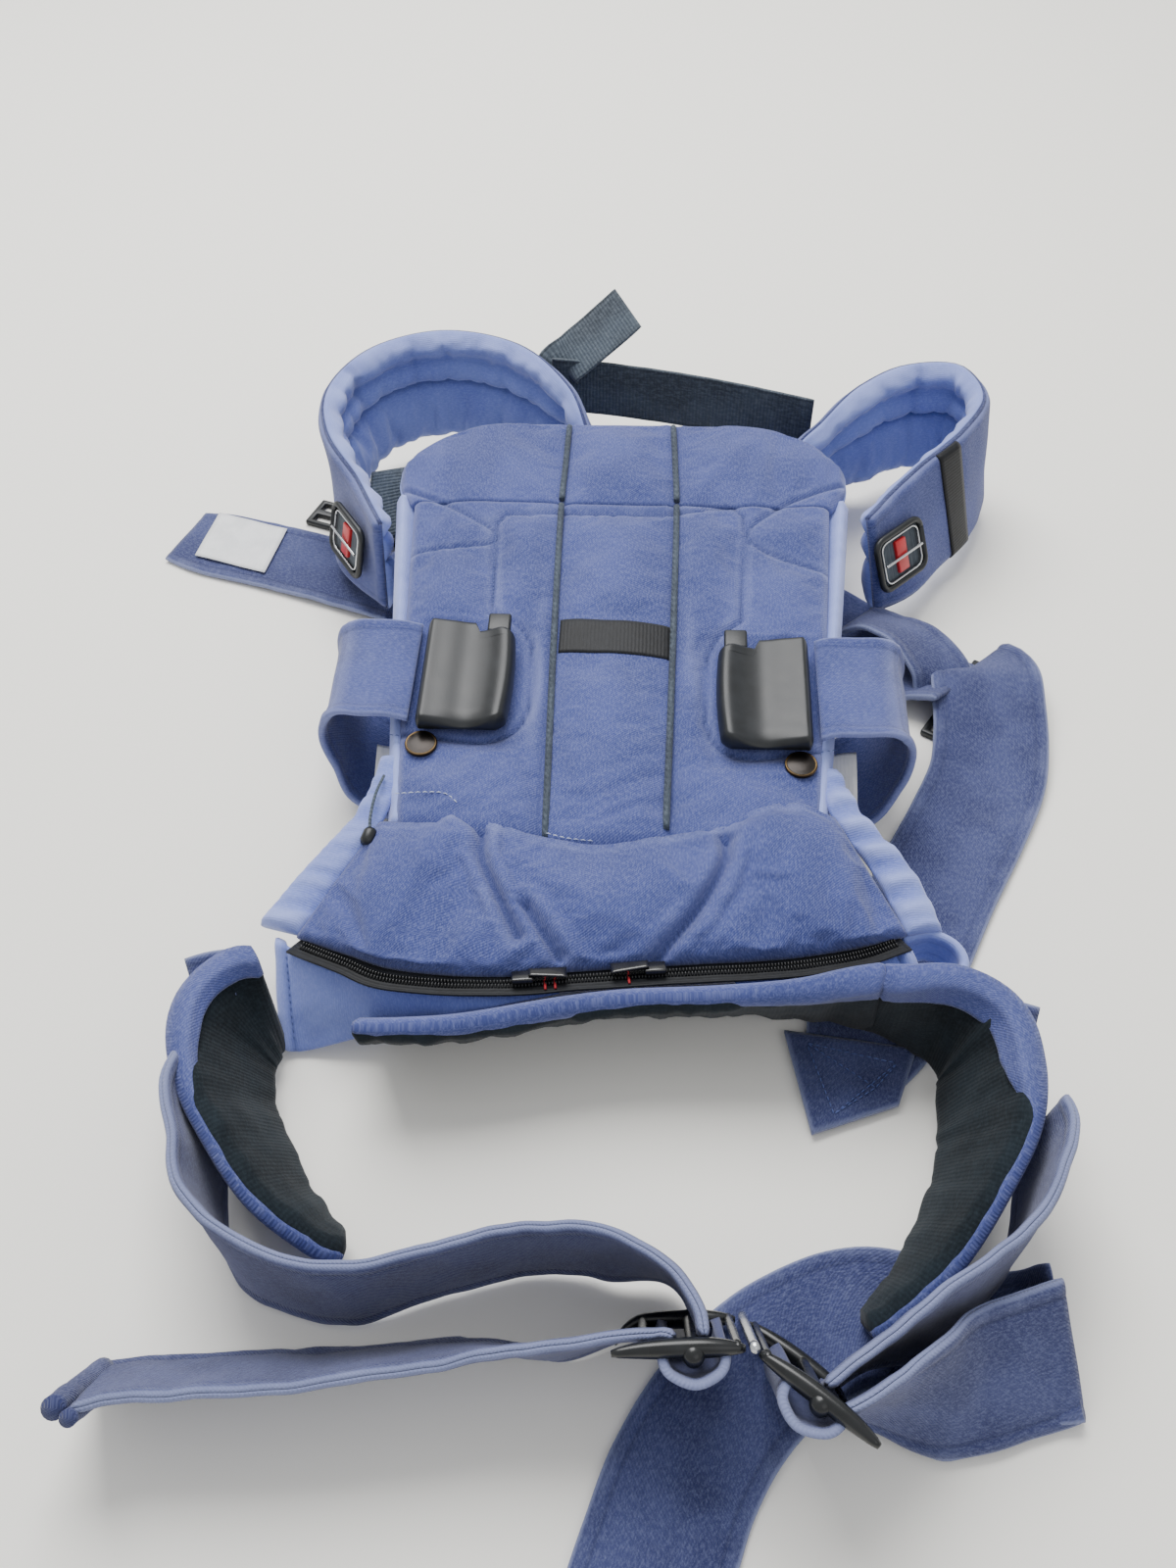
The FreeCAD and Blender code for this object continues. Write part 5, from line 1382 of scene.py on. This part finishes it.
def makeBeltTabs():
    # folded loops sewn to the outside of the belt
    tabs = {"beltTabLeft": (3.0, [(-164, -137, 52, -58), (-174, -139, 52, -58), (-183, -142, 51, -58)]),
            "beltTabRight": (6.0, [(170, -150, 49, 58), (181, -151, 48, 58), (190, -153, 47, 58)])}
    for name, (seed, route) in tabs.items():
        makeStrap(name, route, 22, 5.0, denimStrap, "denim", None, seed, hem=4, slack=0.4, count=17)


def makeTailTip():
    # the right tail ends in a folded corner held by a crossed box of stitching
    fold = {"corners": ((86, -128), (147, -136), (136, -166), (96, -182)), "height": 4.6}
    low, right, tip, left = (np.array(corner, float) for corner in fold["corners"])
    share, climb = np.meshgrid(np.linspace(0, 1, 22), np.linspace(0, 1, 22))
    spots = ((1 - share) * (1 - climb))[..., None] * low + (share * (1 - climb))[..., None] * right \
        + (share * climb)[..., None] * tip + ((1 - share) * climb)[..., None] * left
    mid = onTable(np.concatenate([spots, np.full((*share.shape, 1), fold["height"])], -1))
    edge = np.minimum(np.minimum(share, 1 - share), np.minimum(climb, 1 - climb)) * 50
    rise = (1.3 + 0.6 * groove(edge - 3, 2) - 0.5 * groove(edge - 6, 0.9)) * rounded(edge + 0.3, 1.6) \
        + 0.8 * ripple(share, climb, 0.3, 0.3, 2.0)
    # painted shade along the hem groove round the patch
    patch = sewnPiece("tailTip", plainGrid(mid, upright, share * 60, climb * 50), rise, rise * 0 - 1.6,
                      denimStrap, 0.8 * groove(edge, 1.6), 0.5 * groove(edge - 6, 0.9))
    settle(patch, "carrier", "denim")
    rows = []
    inner = [low * 0.8 + tip * 0.2, right * 0.8 + left * 0.2, tip * 0.8 + low * 0.2, left * 0.8 + right * 0.2]
    for a, b in ((0, 1), (1, 2), (2, 3), (3, 0), (0, 2), (1, 3)):
        line = np.linspace(inner[a], inner[b], 12)
        line = onTable(np.concatenate([line, np.full((12, 1), fold["height"] + 1.7)], 1))
        rows.append(stitchRow("tip", line, upright, blueThread, thread=0.4))
    settle(joined("tailTipStitching", rows), "carrier", "denim")


def makeTailRoll():
    # the left waist tail is rolled over at its end
    rolls = []
    rise = np.linspace(-27, 27, 16)
    for x, y, girth, seed in ((-193, -315.5, 4.6, 4.0), (-186.5, -319, 3.4, 5.0)):
        line = [onTable((x, y - 0.59 * climb, 28.5 + 0.8 * climb)) for climb in rise]
        bulge = girth + 0.5 * ripple(rise, rise * 0, 9, 1, seed)
        rolls.append(tubeAlong("roll", line, bulge, denimStrap, 16))
    settle(joined("waistTailRoll", rolls), "carrier", "denim")


def makeShoulderWebbing():
    # webbing from behind the left shoulder to its band
    route = [(-148, 262, 36, 70), (-148, 250, 30, 72), (-145, 238, 22, 75), (-140, 224, 14, 80)]
    makeStrap("shoulderWebbing", route, 26, 2.0, nylonWebbing, "black_webbing", None, 1.4, hem=1.5, slack=0.5,
              wearAndHighlight=0.3)


def makeCordStop():
    # a moulded stop on a short cord beside the panel
    stop = [(0.3, 4.6), (2.4, 4.2), (3.4, 2.6), (3.6, -2.4), (2.6, -4.4), (0.3, -4.6)]
    settle(lathe("cordStop", stop, onTable((-113.5, -60, 58)), (0.25, 1, 0.3), mouldedAcetal, 24), "carrier",
           "black_plastic")
    cord = onTable([(-111, -22, 60), (-113, -36, 62), (-114, -50, 60), (-113, -62, 57), (-115, -74, 53)])
    settle(tubeAlong("cordLine", smoothLine(cord, 5), 0.8, nylonWebbing, 8), "carrier", "black_cord")


def hookSide(sideName):
    # where a plate starts, its length, and its directions along and out in front
    start = np.array([hook["x"], hook["y"]])
    run = np.array(hook[sideName]) - start
    reach = np.linalg.norm(run)
    run = run / reach
    ahead = np.array([run[1], -run[0]])
    return start, reach, run, ahead * (1 if ahead[1] < 0 else -1)


def makePlate(sideName, body):
    # a slotted plate: two tapered rails, its posts, and the bar the webbing turns round
    start, reach, run, ahead = hookSide(sideName)
    title, tip = sideName.title(), hook["wing"][sideName]
    low, high = hook["low"], hook["high"]

    def spot(u, n, z):
        place = start + run * u + ahead * n
        return onTable((place[0], place[1], z))

    parts = []
    shares = np.linspace(-1, 1, 25)
    for z in (low + 4, high - 4):
        line = [spot(reach + share * ((reach - hook["gap"]) if share < 0 else tip), 0.8 * share ** 2, z)
                for share in shares]
        girth = 1.2 + 2.5 * (1 - np.abs(shares) ** 2.2) ** 0.8
        parts.append(tubeAlong("rail", leanBack(line), girth, polishedAcetal, 14, 1.15))
    for u, girth in ((6.0, 1.7), (reach, 2.5), (reach + tip * 0.62, 1.9)):
        line = [spot(u, 0, z) + [0.001 * z, 0, 0] for z in np.linspace(low + 2, high - 2, 8)]
        parts.append(tubeAlong("post", leanBack(line), girth, polishedAcetal, 12))
    knob = [(0.3, 3.4), (2.2, 3.0), (3.6, 1.9), (4.3, 0.3), (4.2, -2.0), (3.4, -5.0), (0.3, -5.2)]
    parts.append(lathe("knob", knob, spot(reach, 0, high - 3.4), (0, 0, 1), polishedAcetal, 24))
    settle(joined(f"waistPlate{title}", parts), body, "black_plastic", f"waist_buckle_{sideName}")


def makeLoop(sideName, body):
    # webbing turned round the bar, standing out in front of the plate as a lobe
    start, reach, run, ahead = hookSide(sideName)
    stations = []
    for u, n in ((-10.5, -0.5), (-11.5, 4.0), (-9.0, 10.0), (0.0, 14.0), (9.0, 10.0), (11.5, 4.0),
                 (10.5, -0.5)):
        place = start + run * (reach + u) + ahead * n
        stations.append((place[0], place[1], 38.0, 0.0))
    grid = strapGrid(stations, 57, 1.6, 23)
    grid["mid"] = leanBack(grid["mid"])
    edge = grid["edge"]
    thick = (1.7 + 0.4 * groove(edge - 2.5, 2) - 0.4 * groove(edge - 5.5, 0.9)) * rounded(edge + 0.3, 1.8)
    # painted shade along the hem grooves
    loop = sewnPiece(f"waistLoop{sideName.title()}", grid, thick, -thick, denimStrap, 0.9 * groove(edge, 1.5),
                     0.6 * groove(edge - 5.5, 0.9))
    settle(loop, body, "denim", f"waist_loop_{sideName}")


def makeWaistBuckle():
    for sideName, body in (("left", "carrier"), ("right", "waist_buckle_right")):
        makePlate(sideName, body)
        makeLoop(sideName, body)
    pin = [onTable((hook["x"] + 0.001 * z, hook["y"], z)) for z in np.linspace(hook["low"], hook["high"], 10)]
    steelPin = tubeAlong("waistHookPin", leanBack(pin), 1.9, drawnSteel, 12)
    settle(steelPin, "carrier", "steel", "waist_hook_pin")
    for piece in waistPieces:
        leanPiece(piece)
    # the right strap and its tail have their placing baked into their meshes
    ends = {"waistStrapRight": ((168, -253), (104, -306)), "waistTailFront": ((150, -301), (108, -322))}
    for name, (still, moving) in ends.items():
        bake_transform(bpy.data.objects[name])


makeWaistBuckle()
makeTailTag()
makeBeltTabs()
makeTailTip()
makeTailRoll()
makeShoulderWebbing()
makeCordStop()
print("stage: waist belt made")


# floor, light and camera

def makeStage():
    mesh = bpy.data.meshes.new("floor")
    reach = 4.0
    mesh.from_pydata([(-reach, -reach, 0), (reach, -reach, 0), (reach, reach, 0), (-reach, reach, 0)], [],
                     [(0, 1, 2, 3)])
    material, tree, shader = newMaterial("paleFloor", 0.75)
    shader.inputs["Base Color"].default_value = linearColour("#faf8f0")
    mesh.materials.append(material)
    floor = bpy.data.objects.new("floor", mesh)
    scene.collection.objects.link(floor)
    world = bpy.data.worlds.new("studio")
    scene.world = world
    world.use_nodes = True
    world.node_tree.nodes["Background"].inputs[0].default_value = linearColour("#f2f3f5")
    world.node_tree.nodes["Background"].inputs[1].default_value = 0.86
    for name, place, size, power in (("overhead", (-0.3, 0.95, 1.8), 1.4, 60.0),
                                     ("front", (0.9, -1.3, 1.5), 1.2, 3.5)):
        light = bpy.data.lights.new(name, "AREA")
        light.size = size
        light.energy = power
        lamp = bpy.data.objects.new(name, light)
        lamp.location = place
        lamp.rotation_euler = (-Vector(place)).to_track_quat("-Z", "Y").to_euler()
        scene.collection.objects.link(lamp)


def makeCamera():
    view = {"place": (21.3, -536.76, 620.0), "pitch": 47.5, "yaw": 3.49, "roll": -1.3, "lens": 35.55}
    pitch, yaw, roll = (math.radians(view[key]) for key in ("pitch", "yaw", "roll"))
    forward = Vector((-math.sin(yaw) * math.cos(pitch), math.cos(yaw) * math.cos(pitch), -math.sin(pitch)))
    right = Vector((math.cos(yaw), math.sin(yaw), 0))
    up = right.cross(forward)
    turnedRight = right * math.cos(roll) + up * math.sin(roll)
    turnedUp = up * math.cos(roll) - right * math.sin(roll)
    data = bpy.data.cameras.new("camera")
    data.lens = view["lens"]
    data.sensor_width = 36
    data.clip_start = 0.01
    camera = bpy.data.objects.new("camera", data)
    rotation = Matrix((turnedRight, turnedUp, -forward)).transposed().to_4x4()
    camera.matrix_world = Matrix.Translation(Vector(onTable(view["place"]) * mm)) @ rotation
    scene.collection.objects.link(camera)
    scene.camera = camera


makeStage()
makeCamera()
print("stage: done")
